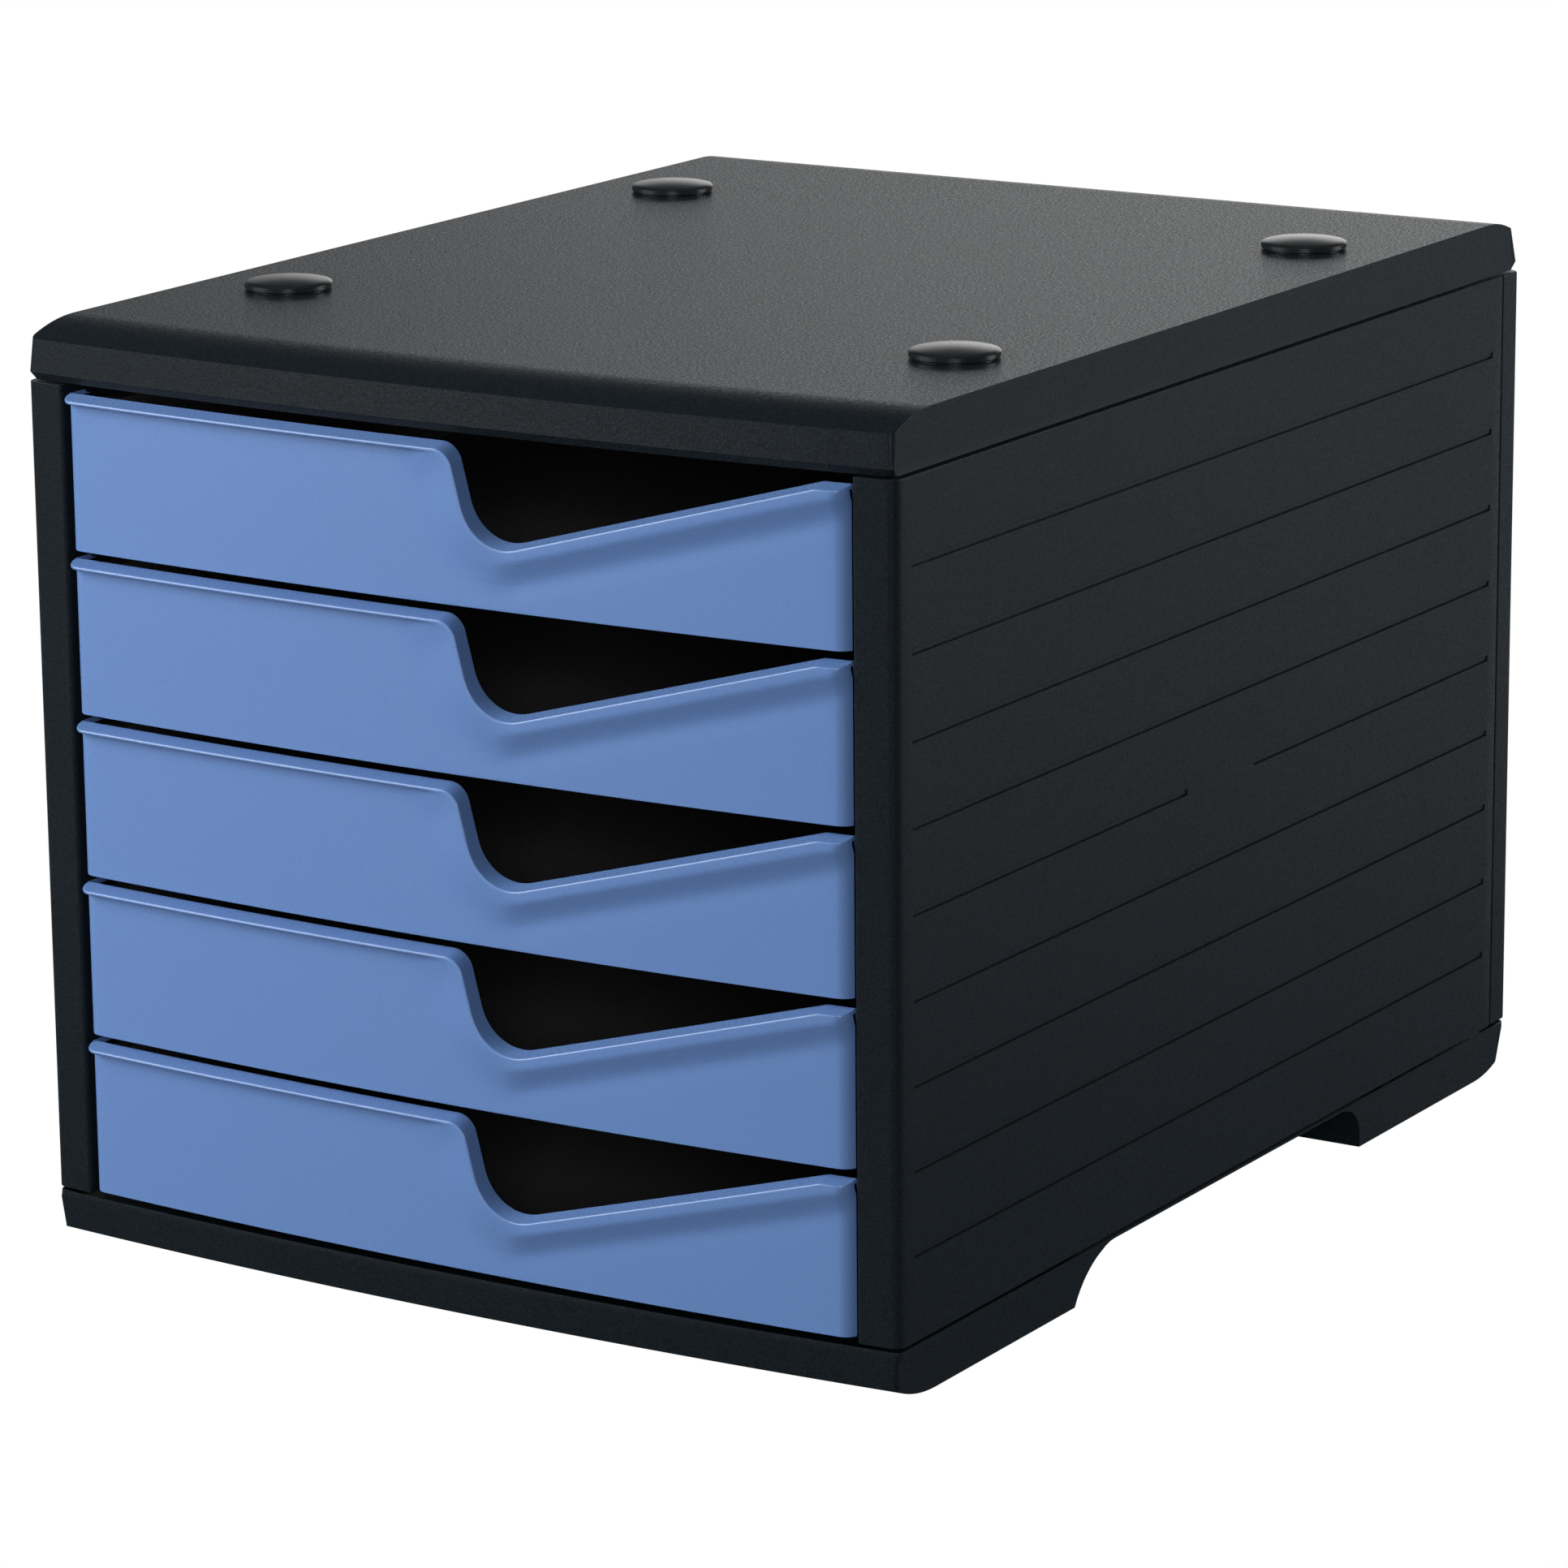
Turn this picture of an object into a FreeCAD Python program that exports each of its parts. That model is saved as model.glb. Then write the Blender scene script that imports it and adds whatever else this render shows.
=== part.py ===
import FreeCAD, Part
import math
import os

# File box with five drawers for a desk, modelled as the moulded pieces that it is made of.
#
# Frame: millimetres, +Z up, X across the width, drawers pull out towards -Y.
# The origin is at the middle of the outer box's footprint, on the surface the box stands on.
#
# The housing is five mouldings: a base with a front and a rear foot, two side panels that carry
# the runners, a back panel with short side returns, and a shallow top cover. Four pads sit under
# the feet, and four stacking buttons on the cover fit sockets under the feet of a box above.
# Each drawer is a tray, which hangs by two flanges in the runners, with a front clipped to it.

V = FreeCAD.Vector

# ---- Driving dimensions -----------------------------------------------------------------------

# Housing
case_width = 284.0
case_depth = 366.0          # from the corners of the front to the back
front_bow = 6.0             # how far the middle of the front stands out beyond its corners
base_height = 15.5
cover_height = 15.8
cap_wall = 2.6              # wall of the base and the cover
panel_wall = 3.0            # wall of the side panels and the back
front_corner = 3.0          # upright corner radii of the housing
rear_corner = 2.5
seam_clear = 0.2            # play between tongues and the walls they slip behind

# Shape shared by the cover and, upside down, the base
side_draft = 1.5            # how far the sides lean in over the height
front_draft = 1.2
rear_draft = 3.0
front_round_depth = 20.0    # the shallow round along the front edge
front_round_drop = 4.4
rear_round_depth = 16.0
rear_round_drop = 3.8
cap_edge = 1.5              # radius along the side edges
cover_notch = 1.3           # the V-groove left at the seams
base_notch = 0.9
notch_height = 2.0
panel_edge = 0.8            # bevelled top and bottom edges of the panels

# Feet
front_foot_length = 96.5    # at the bottom, from the front corners
rear_foot_length = 96.5
front_foot_run = 20.5       # length of the hollow curve from the foot's bottom to the seam
rear_foot_run = 14.6
foot_nose = 0.7             # thin end of the base's side where it runs out at the seam
base_plate = 2.0            # plate that joins the feet under the bottom drawer
pad_radius = 8.0
pad_thickness = 1.3
pad_stand = 0.5             # how far the pads stand out below the feet
pad_side = 24.0             # from the sides to the middle of a pad
pad_setback = 42.0          # from the front corners, and from the back

# Stacking buttons and their sockets
button_side = 31.0          # from the sides to the middle of a button
button_setback = 82.0       # from the front corners, and from the back
button_radius = 12.6
button_rim = 1.9
button_dome = 1.3
dome_bands = 3              # the dome is turned as cones that follow its curve
button_foot = 0.3           # narrower step that the rim stands on
button_step = 0.9           # how much narrower it is
stem_radius = 4.0
stem_play = 0.2
stem_slot = 1.6             # lets the two halves of the stem spring together
barb_reach = 0.7
barb_height = 2.5
socket_play = 0.6           # round a button in its socket
socket_room = 1.0           # above it
pad_play = 0.2

# Cover ribs
rib_wall = 1.6
rib_depth = 6.0
rib_count = 3

# Side panels
post_width = 13.0
post_depth = 16.0
post_wall = 2.5
post_edge = 1.2
back_return = 10.8          # depth of the back panel's side returns
groove_height = 1.7         # outside grooves, two to a drawer
groove_first = 24.7         # from the lower seam to the first
groove_depth = 0.3
slit_height = 0.6
slit_depth = 1.3
groove_front = 7.5          # from the front corners
groove_rear = 17.6          # from the back
groove_break_front = 157.4  # the middle groove stops here
groove_break_rear = 197.2   # and starts again here
tab_wall = 2.0              # tongues that lock the housing's pieces together
tab_reach = 8.5
tab_root = 2.2
tab_length = 50.0
tab_setback = 55.0          # from the front corners, and from the back, to a tongue's middle
back_tab_side = 72.0         # from the sides to a tongue's middle
back_tab_length = 60.0

# Runners
runner_wall = 2.0
runner_bite = 3.5           # how far a flange reaches over its runner
runner_rear_gap = 21.0      # from the runner's end to the back

# Drawers
drawer_count = 5
drawer_pitch = 47.0
front_gap = 2.6             # between one drawer front and the next
bottom_gap = 2.1            # between the lowest front and the base
top_gap = 2.9               # between the highest front and the cover
side_gap = 1.3              # between a front and the posts
pull_out = 250.0            # travel of a drawer

# Drawer fronts
face_wall = 2.5
face_corner = 4.0
front_return = 9.0          # depth of the front's sides, behind its corners
sill_wall = 1.6             # the front's bottom flange, which the tray stands on
lip_reach = 2.6
lip_wall = 1.6
cut_start_x = 7.1           # the finger cut-out: where its steep side meets the top edge,
cut_run = 7.6               # how far on its lowest corner is,
cut_valley_z = 15.4         # how high that is,
cut_end_gap = 8.0           # and how far from the front's end its long slope meets the edge
cut_shoulder = 6.0
cut_valley_radius = 14.0
cut_end_radius = 4.0
scoop_radius = 16.0
scoop_depth = 1.0
scoop_below = 9.0           # from the edge of the cut-out down to the middle of the scoop
scoop_start_gap = 5.1       # from the cut-out's lowest corner, along the box
scoop_end_gap = 6.2         # from the front's end
clip_gaps_left = (31.7, 91.7)       # from the front's left end to the middle of its clips
clip_gaps_right = (77.7, 27.7)      # and from its right end
clip_width = 10.0
clip_wall = 1.6
clip_reach = 4.6
clip_barb = 0.8
clip_height = 8.0           # above the tray's floor
clip_play = 0.3

# Drawer trays
tray_gap = 1.2              # between the tray's sides and the runners
tray_wall = 2.0
tray_floor = 2.0
tray_draft = 1.0
tray_corner = 6.0
tray_height = 39.4
tray_back_height = 33.0
tray_rear_gap = 4.0         # from the tray's back wall to the back panel
front_wall_drop = 1.5       # how much lower the tray's front wall is than the front's edge
flange_gap = 1.0            # between the flanges and the front posts
flange_wall = 2.4
runner_play = 0.3
flange_headroom = 0.8
stop_bite = 4.2             # how far the pull-out stops reach behind the posts
stop_length = 12.0
closed_play = 0.4

# ---- Derived places ---------------------------------------------------------------------------

half_width = case_width / 2
front_y = (front_bow + lip_reach - case_depth) / 2     # the housing's front corners
rear_y = front_y + case_depth
bow_radius = half_width ** 2 / (2 * front_bow) + front_bow / 2
bow_centre_y = front_y - front_bow + bow_radius

front_height = drawer_pitch - front_gap
panel_height = drawer_count * drawer_pitch - front_gap + bottom_gap + top_gap
base_z = pad_stand
seam_low = base_z + base_height
seam_high = seam_low + panel_height
cover_z = seam_high + cover_height

back_inner_y = rear_y - panel_wall
skin_inner = half_width - panel_wall
post_inner = half_width - post_width
post_rear_y = front_y + post_depth
face_half = post_inner - side_gap
flange_half = post_inner - flange_gap
stop_half = post_inner + stop_bite
runner_inner = flange_half - runner_bite
tray_half = runner_inner - tray_gap
cut_valley_x = cut_start_x + cut_run
cut_end_x = face_half - cut_end_gap
scoop_start_x = cut_valley_x + scoop_start_gap
scoop_end_x = face_half - scoop_end_gap
clip_places = [gap - face_half for gap in clip_gaps_left] + [face_half - gap for gap in clip_gaps_right]
flange_low = sill_wall + tray_height - flange_wall
flange_top = sill_wall + tray_height
stop_front_y = post_rear_y + pull_out + closed_play
button_x = half_width - button_side
pad_x = half_width - pad_side
back_tab_x = half_width - back_tab_side
button_ys = (front_y + button_setback, rear_y - button_setback)
pad_ys = (front_y + pad_setback, rear_y - pad_setback)
front_foot_y = front_y + front_foot_length
rear_foot_y = rear_y - rear_foot_length
plate_z = seam_low - base_plate
plate_half = half_width - cap_wall - side_draft

reach = 2 * (case_width + case_depth)   # longer than anything, for cutting tools
past = 1.0                              # how far a cutting tool runs past a face


# ---- Helpers ----------------------------------------------------------------------------------

def box(x0, x1, y0, y1, z0, z1):
    """A box between two corners."""
    return Part.makeBox(x1 - x0, y1 - y0, z1 - z0, V(x0, y0, z0))


def rod(radius, z0, z1, x, y):
    """An upright cylinder."""
    return Part.makeCylinder(radius, z1 - z0, V(x, y, z0))


def corner_arc(before, corner, after, radius):
    """The start, middle and end of the arc that rounds a corner of a path."""
    to_before = (before - corner).normalize()
    to_after = (after - corner).normalize()
    half_angle = to_before.getAngle(to_after) / 2
    leg = radius / math.tan(half_angle)
    middle_way = (to_before + to_after).normalize()
    middle = corner + middle_way * (radius / math.sin(half_angle) - radius)
    return corner + to_before * leg, middle, corner + to_after * leg


def rounded_wire(corners, radii):
    """A closed wire through the corners, each rounded by its own radius (0 leaves it sharp)."""
    count = len(corners)
    stops = []
    for i, corner in enumerate(corners):
        if radii[i] > 0:
            stops.append(corner_arc(corners[i - 1], corner, corners[(i + 1) % count], radii[i]))
        else:
            stops.append((corner, None, corner))
    edges = []
    for i, (start, middle, end) in enumerate(stops):
        if middle is not None:
            edges.append(Part.Arc(start, middle, end).toShape())
        following = stops[(i + 1) % count][0]
        if end.distanceToPoint(following) > 1e-6:
            edges.append(Part.LineSegment(end, following).toShape())
    return Part.Wire(edges)


def lengthways(points, radii, y0, y1):
    """A solid of one XZ outline, from y0 to y1. Points are (x, z)."""
    wire = rounded_wire([V(x, y0, z) for x, z in points], radii)
    return Part.Face(wire).extrude(V(0, y1 - y0, 0))


def plan_wire(half, front_inset, rear_inset, front_radius, rear_radius, z):
    """The plan of the case with its bowed front, moved in by the insets. A radius of 0 is sharp."""
    radius = bow_radius - front_inset
    back = rear_y - rear_inset
    centre = V(0, bow_centre_y, z)
    round_x = half - front_radius
    round_y = bow_centre_y - math.sqrt((radius - front_radius) ** 2 - round_x ** 2)
    outward = (V(round_x, round_y, z) - centre).normalize()
    on_bow = centre + outward * radius
    halfway = (outward + V(1, 0, 0)).normalize()
    on_round = V(round_x, round_y, z) + halfway * front_radius
    diagonal = rear_radius * (1 - math.sqrt(0.5))
    side_start = V(half, round_y, z)
    side_end = V(half, back - rear_radius, z)
    right = [Part.LineSegment(side_start, side_end)]
    if front_radius > 0:
        right.append(Part.Arc(on_bow, on_round, side_start))
    if rear_radius > 0:
        on_diagonal = V(half - diagonal, back - diagonal, z)
        right.append(Part.Arc(side_end, on_diagonal, V(half - rear_radius, back, z)))
    rear = Part.LineSegment(V(half - rear_radius, back, z), V(rear_radius - half, back, z))
    left = [edge.toShape().mirror(V(0, 0, 0), V(1, 0, 0)) for edge in right]
    front = Part.Arc(V(-on_bow.x, on_bow.y, z), V(0, bow_centre_y - radius, z), on_bow)
    edges = [edge.toShape() for edge in right] + [rear.toShape()] + left + [front.toShape()]
    return Part.Wire(Part.__sortEdges__(edges))


def plan_prism(half, front_inset, rear_inset, front_radius, rear_radius, z0, z1):
    """An upright solid of the case's plan."""
    wire = plan_wire(half, front_inset, rear_inset, front_radius, rear_radius, z0)
    return Part.Face(wire).extrude(V(0, 0, z1 - z0))


def bow_cylinder(inset, z0, z1):
    """Everything behind the bowed front, moved back by an inset."""
    return rod(bow_radius - inset, z0, z1, 0, bow_centre_y)


def mirrored(shape):
    """The shape for the other side of the box."""
    return shape.mirror(V(0, 0, 0), V(1, 0, 0))


def export(shape, node):
    """Writes one sub-part."""
    shape.exportStep("parts/" + node + ".step")


# ---- Base and cover ---------------------------------------------------------------------------

def front_round_form(height, inset):
    """Keeps what lies under the shallow round that follows the bowed front edge."""
    outer = bow_radius - inset
    curve = (front_round_depth ** 2 + front_round_drop ** 2) / (2 * front_round_drop)
    ridge = height - front_round_drop
    half_turn = math.asin(front_round_depth / curve) / 2
    flat_r = outer - front_round_depth
    top = V(flat_r, 0, height)
    middle = V(flat_r + curve * math.sin(half_turn), 0, height - curve * (1 - math.cos(half_turn)))
    edge = V(outer, 0, ridge)
    over = V(outer + past, 0, ridge)
    under = V(outer + past, 0, -past)
    inner_under = V(outer - reach, 0, -past)
    inner_top = V(outer - reach, 0, height)
    edges = [
        Part.Arc(top, middle, edge).toShape(),
        Part.LineSegment(edge, over).toShape(),
        Part.LineSegment(over, under).toShape(),
        Part.LineSegment(under, inner_under).toShape(),
        Part.LineSegment(inner_under, inner_top).toShape(),
        Part.LineSegment(inner_top, top).toShape(),
    ]
    quarter_sweep = math.degrees(math.asin(half_width / bow_radius))
    section = Part.Face(Part.Wire(edges))
    section.rotate(V(0, 0, 0), V(0, 0, 1), -90 - 2 * quarter_sweep)
    form = section.revolve(V(0, 0, 0), V(0, 0, 1), 4 * quarter_sweep)
    form.translate(V(0, bow_centre_y, 0))
    return form


def cap_form(height, inset, notch):
    """The outside of the cover, standing on its seam at z = 0, or its inside at an inset."""
    half = half_width - inset
    front_radius = front_corner if inset == 0 else 0
    rear_radius = rear_corner if inset == 0 else 0
    wires = [plan_wire(half - notch, inset + notch, inset + notch, front_radius, rear_radius, 0)]
    if notch > 0:
        wires.append(plan_wire(half, inset, inset, front_radius, rear_radius, notch_height))
    wires.append(plan_wire(half - side_draft, inset + front_draft, inset + rear_draft,
                           front_radius, rear_radius, height))
    form = Part.makeLoft(wires, True, True)
    curve = (rear_round_depth ** 2 + rear_round_drop ** 2) / (2 * rear_round_drop)
    back = rear_y - inset
    rear_end = back - rear_draft * (height - rear_round_drop) / height
    rear_start = rear_end - rear_round_depth
    rear_cut = Part.makeCylinder(curve, reach, V(-reach / 2, rear_start, height - curve), V(1, 0, 0))
    rear_zone = box(-reach / 2, reach / 2, rear_start, back + past, height - 2 * rear_round_drop,
                    height + past)
    edge_profile = [(-half, -past), (half, -past), (half, notch_height),
                    (half - side_draft, height), (side_draft - half, height),
                    (-half, notch_height)]
    edge_radii = (0, 0, 0, cap_edge, cap_edge, 0)
    edge_form = lengthways(edge_profile, edge_radii, front_y - reach, rear_y + reach)
    form = form.common(front_round_form(height, inset))
    form = form.cut(rear_zone.cut(rear_cut))
    if inset == 0:
        form = form.common(edge_form)
    return form


def cover():
    """The top cover, a shallow shell with ribs and four holes for the stacking buttons."""
    inner_height = cover_height - cap_wall
    cavity = cap_form(inner_height, cap_wall, 0)
    shell = cap_form(cover_height, 0, cover_notch).cut(cavity)
    for i in range(rib_count):
        y = front_y + case_depth * (i + 1) / (rib_count + 1)
        rib = box(-half_width, half_width, y - rib_wall / 2, y + rib_wall / 2,
                  inner_height - rib_depth, inner_height)
        shell = shell.fuse(rib.common(cavity))
    for x in (-button_x, button_x):
        for y in button_ys:
            shell = shell.cut(rod(stem_radius + stem_play, -past, cover_height + past, x, y))
    shell.translate(V(0, 0, seam_high))
    return shell.removeSplitter()


def arch(x0, x1, top, wall):
    """The space between the feet, up to a height, with its curved ends grown by a wall."""
    space = box(x0, x1, front_foot_y + front_foot_run, rear_foot_y - rear_foot_run,
                base_z - past, top)
    rise = base_height - foot_nose
    for run, y in ((front_foot_run, front_foot_y + front_foot_run),
                   (rear_foot_run, rear_foot_y - rear_foot_run)):
        radius = (run ** 2 + rise ** 2) / (2 * rise)
        centre = V(x0, y, base_z + rise - radius)
        space = space.fuse(Part.makeCylinder(radius + wall, x1 - x0, centre, V(1, 0, 0)))
    return space.common(box(x0, x1, front_y, rear_y, base_z - past, top))


def base():
    """The base: a front and a rear foot, hollow and open above, joined by a thin plate."""
    inside_out = V(0, 0, 1)
    outer = cap_form(base_height, 0, base_notch).mirror(V(0, 0, 0), inside_out)
    wells = cap_form(base_height - cap_wall, cap_wall, 0).mirror(V(0, 0, 0), inside_out)
    outer.translate(V(0, 0, seam_low))
    wells.translate(V(0, 0, seam_low))
    wells = wells.cut(arch(-half_width, half_width, seam_low + past, cap_wall))
    shell = outer.cut(wells)
    socket_depth = button_foot + button_rim + button_dome + socket_room
    socket_radius = button_radius + socket_play
    for x in (-button_x, button_x):
        for y in button_ys:
            boss = rod(socket_radius + cap_wall, base_z + cap_wall / 2,
                       base_z + socket_depth + cap_wall, x, y)
            shell = shell.fuse(boss.common(outer))
            shell = shell.cut(rod(socket_radius, base_z - past, base_z + socket_depth, x, y))
    for x in (-pad_x, pad_x):
        for y in pad_ys:
            shell = shell.cut(rod(pad_radius + pad_play, base_z - past, pad_thickness, x, y))
    shell = shell.cut(arch(-half_width - past, half_width + past, plate_z, 0))
    for x0, x1 in ((-half_width - past, -plate_half), (plate_half, half_width + past)):
        shell = shell.cut(arch(x0, x1, seam_low + past, 0))
    return shell.removeSplitter()


def foot_pad(x, y):
    """A rubber pad in its shallow pocket under a foot."""
    pad = rod(pad_radius, 0, pad_thickness, x, y)
    return pad.makeChamfer(pad_stand / 2, [e for e in pad.Edges if e.BoundBox.ZMax < pad_stand])


def stacking_button(x, y):
    """A domed button on a split stem that snaps through the cover."""
    rim_z = button_foot + button_rim
    hold_z = -cap_wall - stem_play
    tip_z = hold_z - barb_height
    foot_radius = button_radius - button_step
    barb_radius = stem_radius + barb_reach
    profile = [(0, tip_z), (stem_radius - barb_reach, tip_z), (barb_radius, hold_z),
               (stem_radius, hold_z), (stem_radius, 0), (foot_radius, 0),
               (foot_radius, button_foot), (button_radius, button_foot)]
    dome_curve = (button_radius ** 2 + button_dome ** 2) / (2 * button_dome)
    for i in range(dome_bands + 1):
        r = button_radius * (dome_bands - i) / dome_bands
        z = rim_z + button_dome - dome_curve + math.sqrt(dome_curve ** 2 - r ** 2)
        profile.append((r, z))
    wire = Part.makePolygon([V(r, 0, z) for r, z in profile + profile[:1]])
    button = Part.Face(wire).revolve(V(0, 0, 0), V(0, 0, 1), 360)
    button = button.cut(box(-button_radius, button_radius, -stem_slot / 2, stem_slot / 2,
                            tip_z - past, -stem_play))
    button.translate(V(x, y, cover_z))
    return button


# ---- Side panels and back ---------------------------------------------------------------------

def case_prism():
    """The outside of the panels between the two seams, with its edges eased."""
    prism = plan_prism(half_width, 0, 0, front_corner, rear_corner, seam_low, seam_high)
    flat = [e for e in prism.Edges if e.BoundBox.ZLength < panel_edge]
    return prism.makeChamfer(panel_edge, flat)


def groove(y0, y1, z):
    """One outside groove: a shallow recess with a deeper slit below it and up its rear end."""
    x1 = half_width + past
    recess = box(half_width - groove_depth, x1, y0, y1, z, z + groove_height)
    slit = box(half_width - slit_depth, x1, y0, y1, z, z + slit_height)
    end_slit = box(half_width - slit_depth, x1, y1 - slit_height, y1, z, z + groove_height)
    return [recess, slit, end_slit]


def drawer_z(number):
    """Bottom of a drawer's front. Drawer 1 is the top one."""
    return seam_low + bottom_gap + (drawer_count - number) * drawer_pitch


def side_panel():
    """The right side panel with its front post, runners, tongues and outside grooves."""
    skin = case_prism()
    panel = skin.common(box(skin_inner, half_width + past, front_y - past, rear_y - back_return,
                            seam_low, seam_high))
    post = skin.common(box(post_inner, half_width + past, front_y - front_bow, post_rear_y,
                                seam_low, seam_high))
    edge = [e for e in post.Edges
            if e.BoundBox.XMax < post_inner + past and e.BoundBox.YMax < front_y
            and e.BoundBox.ZLength > panel_height / 2]
    post = post.makeFillet(post_edge, edge)
    hollow = plan_prism(skin_inner, post_wall, 0, panel_edge, panel_edge, seam_low, seam_high)
    hollow = hollow.common(box(post_inner + post_wall, skin_inner, front_y, post_rear_y,
                               seam_low + post_wall, seam_high - post_wall))
    panel = panel.fuse(post.cut(hollow))

    additions = []
    runner_end = rear_y - runner_rear_gap
    for number in range(1, drawer_count + 1):
        rest = drawer_z(number) + flange_low - runner_play
        guide = drawer_z(number) + flange_top + flange_headroom
        for z in (rest - runner_wall, guide):
            additions.append(box(runner_inner, skin_inner + past, post_rear_y - past, runner_end,
                                 z, z + runner_wall))
    tab_x = half_width - cap_wall - seam_clear - side_draft * tab_reach / (base_height - cap_wall)
    for y in (front_y + tab_setback, rear_y - tab_setback):
        y0 = y - tab_length / 2
        y1 = y + tab_length / 2
        for root_z, z0, z1 in ((seam_low, seam_low - tab_reach, seam_low + tab_root),
                               (seam_high - tab_root, seam_high - tab_root, seam_high + tab_reach)):
            additions.append(box(tab_x - tab_wall, tab_x, y0, y1, z0, z1))
            additions.append(box(tab_x - tab_wall, skin_inner + past, y0, y1,
                                 root_z, root_z + tab_root))
    tongue_x = skin_inner - seam_clear
    tongue_y = rear_y - back_return
    additions.append(box(tongue_x - tab_wall, tongue_x, tongue_y - tab_reach,
                         back_inner_y - seam_clear, seam_low + tab_reach, seam_high - tab_reach))
    additions.append(box(tongue_x - tab_wall, skin_inner + past, tongue_y - tab_reach,
                         tongue_y - seam_clear, seam_low + tab_reach, seam_high - tab_reach))
    panel = panel.fuse(additions)

    cuts = []
    start = front_y + groove_front
    end = rear_y - groove_rear
    lines = 2 * drawer_count - 1
    for i in range(lines):
        z = seam_low + groove_first + drawer_pitch / 2 * i
        if i == lines // 2:
            cuts += groove(start, front_y + groove_break_front, z)
            cuts += groove(front_y + groove_break_rear, end, z)
        else:
            cuts += groove(start, end, z)
    return panel.cut(cuts).removeSplitter()


def back_panel():
    """The back, with a return along each side and tongues into the base and the cover."""
    panel = case_prism().common(box(-half_width, half_width, rear_y - back_return, rear_y,
                                    seam_low, seam_high))
    panel = panel.cut(box(-skin_inner, skin_inner, rear_y - back_return - past, back_inner_y,
                          seam_low, seam_high))
    tab_y = rear_y - cap_wall - seam_clear - rear_draft * tab_reach / (base_height - cap_wall)
    additions = []
    for x in (-back_tab_x, back_tab_x):
        x0 = x - back_tab_length / 2
        x1 = x + back_tab_length / 2
        for root_z, z0, z1 in ((seam_low, seam_low - tab_reach, seam_low + tab_root),
                               (seam_high - tab_root, seam_high - tab_root, seam_high + tab_reach)):
            additions.append(box(x0, x1, tab_y - tab_wall, tab_y, z0, z1))
            additions.append(box(x0, x1, tab_y - tab_wall, back_inner_y + past,
                                 root_z, root_z + tab_root))
    return panel.fuse(additions).removeSplitter()


# ---- Drawers ----------------------------------------------------------------------------------

def front_edge(drop):
    """The front's top edge with its finger cut-out, lowered by a drop, as points and radii."""
    points = [V(-face_half, 0, front_height), V(cut_start_x, 0, front_height),
              V(cut_valley_x, 0, cut_valley_z), V(cut_end_x, 0, front_height),
              V(face_half, 0, front_height)]
    radii = [0, cut_shoulder, cut_valley_radius, cut_end_radius, 0]
    directions = [(b - a).normalize() for a, b in zip(points, points[1:])]
    normals = [V(d.z, 0, -d.x) for d in directions]
    moved = [points[0] + normals[0] * drop]
    for i in range(1, len(points) - 1):
        middle = (normals[i - 1] + normals[i]).normalize()
        moved.append(points[i] + middle * (drop / middle.dot(normals[i])))
    moved.append(points[-1] + normals[-1] * drop)
    turns = [0, -drop, drop, -drop, 0]
    return [(p.x, p.z) for p in moved], [r + t for r, t in zip(radii, turns)]


def bow_y(x, inset):
    """Where the bowed front, moved back by an inset, lies at a place across the box."""
    return bow_centre_y - math.sqrt((bow_radius - inset) ** 2 - x ** 2)


def finger_scoop():
    """The hollow under the sloping edge that finger tips reach into, with round ends."""
    slope = (front_height - cut_valley_z) / (cut_end_x - cut_valley_x)
    stand_off = scoop_radius - scoop_depth
    ends = []
    for x in (scoop_start_x, scoop_end_x):
        z = cut_valley_z + (x - cut_valley_x) * slope - scoop_below
        ends.append(V(x, bow_y(x, 0) - stand_off, z))
    along = (ends[1] - ends[0]).normalize()
    half_chord = math.sqrt(scoop_radius ** 2 - stand_off ** 2)
    first = ends[0] + along * half_chord
    last = ends[1] - along * half_chord
    rod_length = first.distanceToPoint(last)
    scoop = Part.makeCylinder(scoop_radius, rod_length, first, along)
    return scoop.fuse([Part.makeSphere(scoop_radius, first), Part.makeSphere(scoop_radius, last)])


def drawer_front():
    """A bowed front with its lip, finger cut-out, finger scoop and clips, at the bottom z = 0."""
    back = front_y + front_return
    block = plan_prism(face_half, 0, 0, face_corner, panel_edge, 0, front_height)
    inside = plan_prism(face_half - face_wall, face_wall, -past, face_corner - face_wall,
                        panel_edge, sill_wall, front_height + past)
    limit = box(-half_width, half_width, front_y - front_bow - past, back, 0, front_height)
    shell = block.cut(inside).common(limit)
    edge_points, edge_radii = front_edge(0)
    outline = [(face_half, 0), (-face_half, 0)] + edge_points
    shell = shell.common(lengthways(outline, [0, 0] + edge_radii, front_y - reach, back))
    shell = shell.cut(finger_scoop())

    under_points, under_radii = front_edge(lip_wall)
    strip = lengthways(edge_points + under_points[::-1], edge_radii + under_radii[::-1],
                       front_y - front_bow - lip_reach - past, back)
    lip_plan = plan_prism(face_half, -lip_reach, 0, face_corner, panel_edge, 0, front_height)
    lip = strip.common(lip_plan).cut(bow_cylinder(face_wall, -past, front_height + past))
    front = shell.fuse(lip)

    arm_z = sill_wall + tray_floor + clip_height
    for x in clip_places:
        x0 = x - clip_width / 2
        x1 = x + clip_width / 2
        tip_y = bow_y(x, face_wall) + clip_reach
        arm = box(x0, x1, front_y - front_bow, tip_y, arm_z, arm_z + clip_wall)
        barb = box(x0, x1, front_y - front_bow, tip_y, arm_z, arm_z + clip_wall + clip_barb)
        arm = arm.common(bow_cylinder(face_wall / 2 + scoop_depth / 2, 0, front_height))
        barb = barb.common(bow_cylinder(face_wall + tray_wall + clip_play, 0, front_height))
        front = front.fuse([arm, barb])
    return front.removeSplitter()


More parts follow.
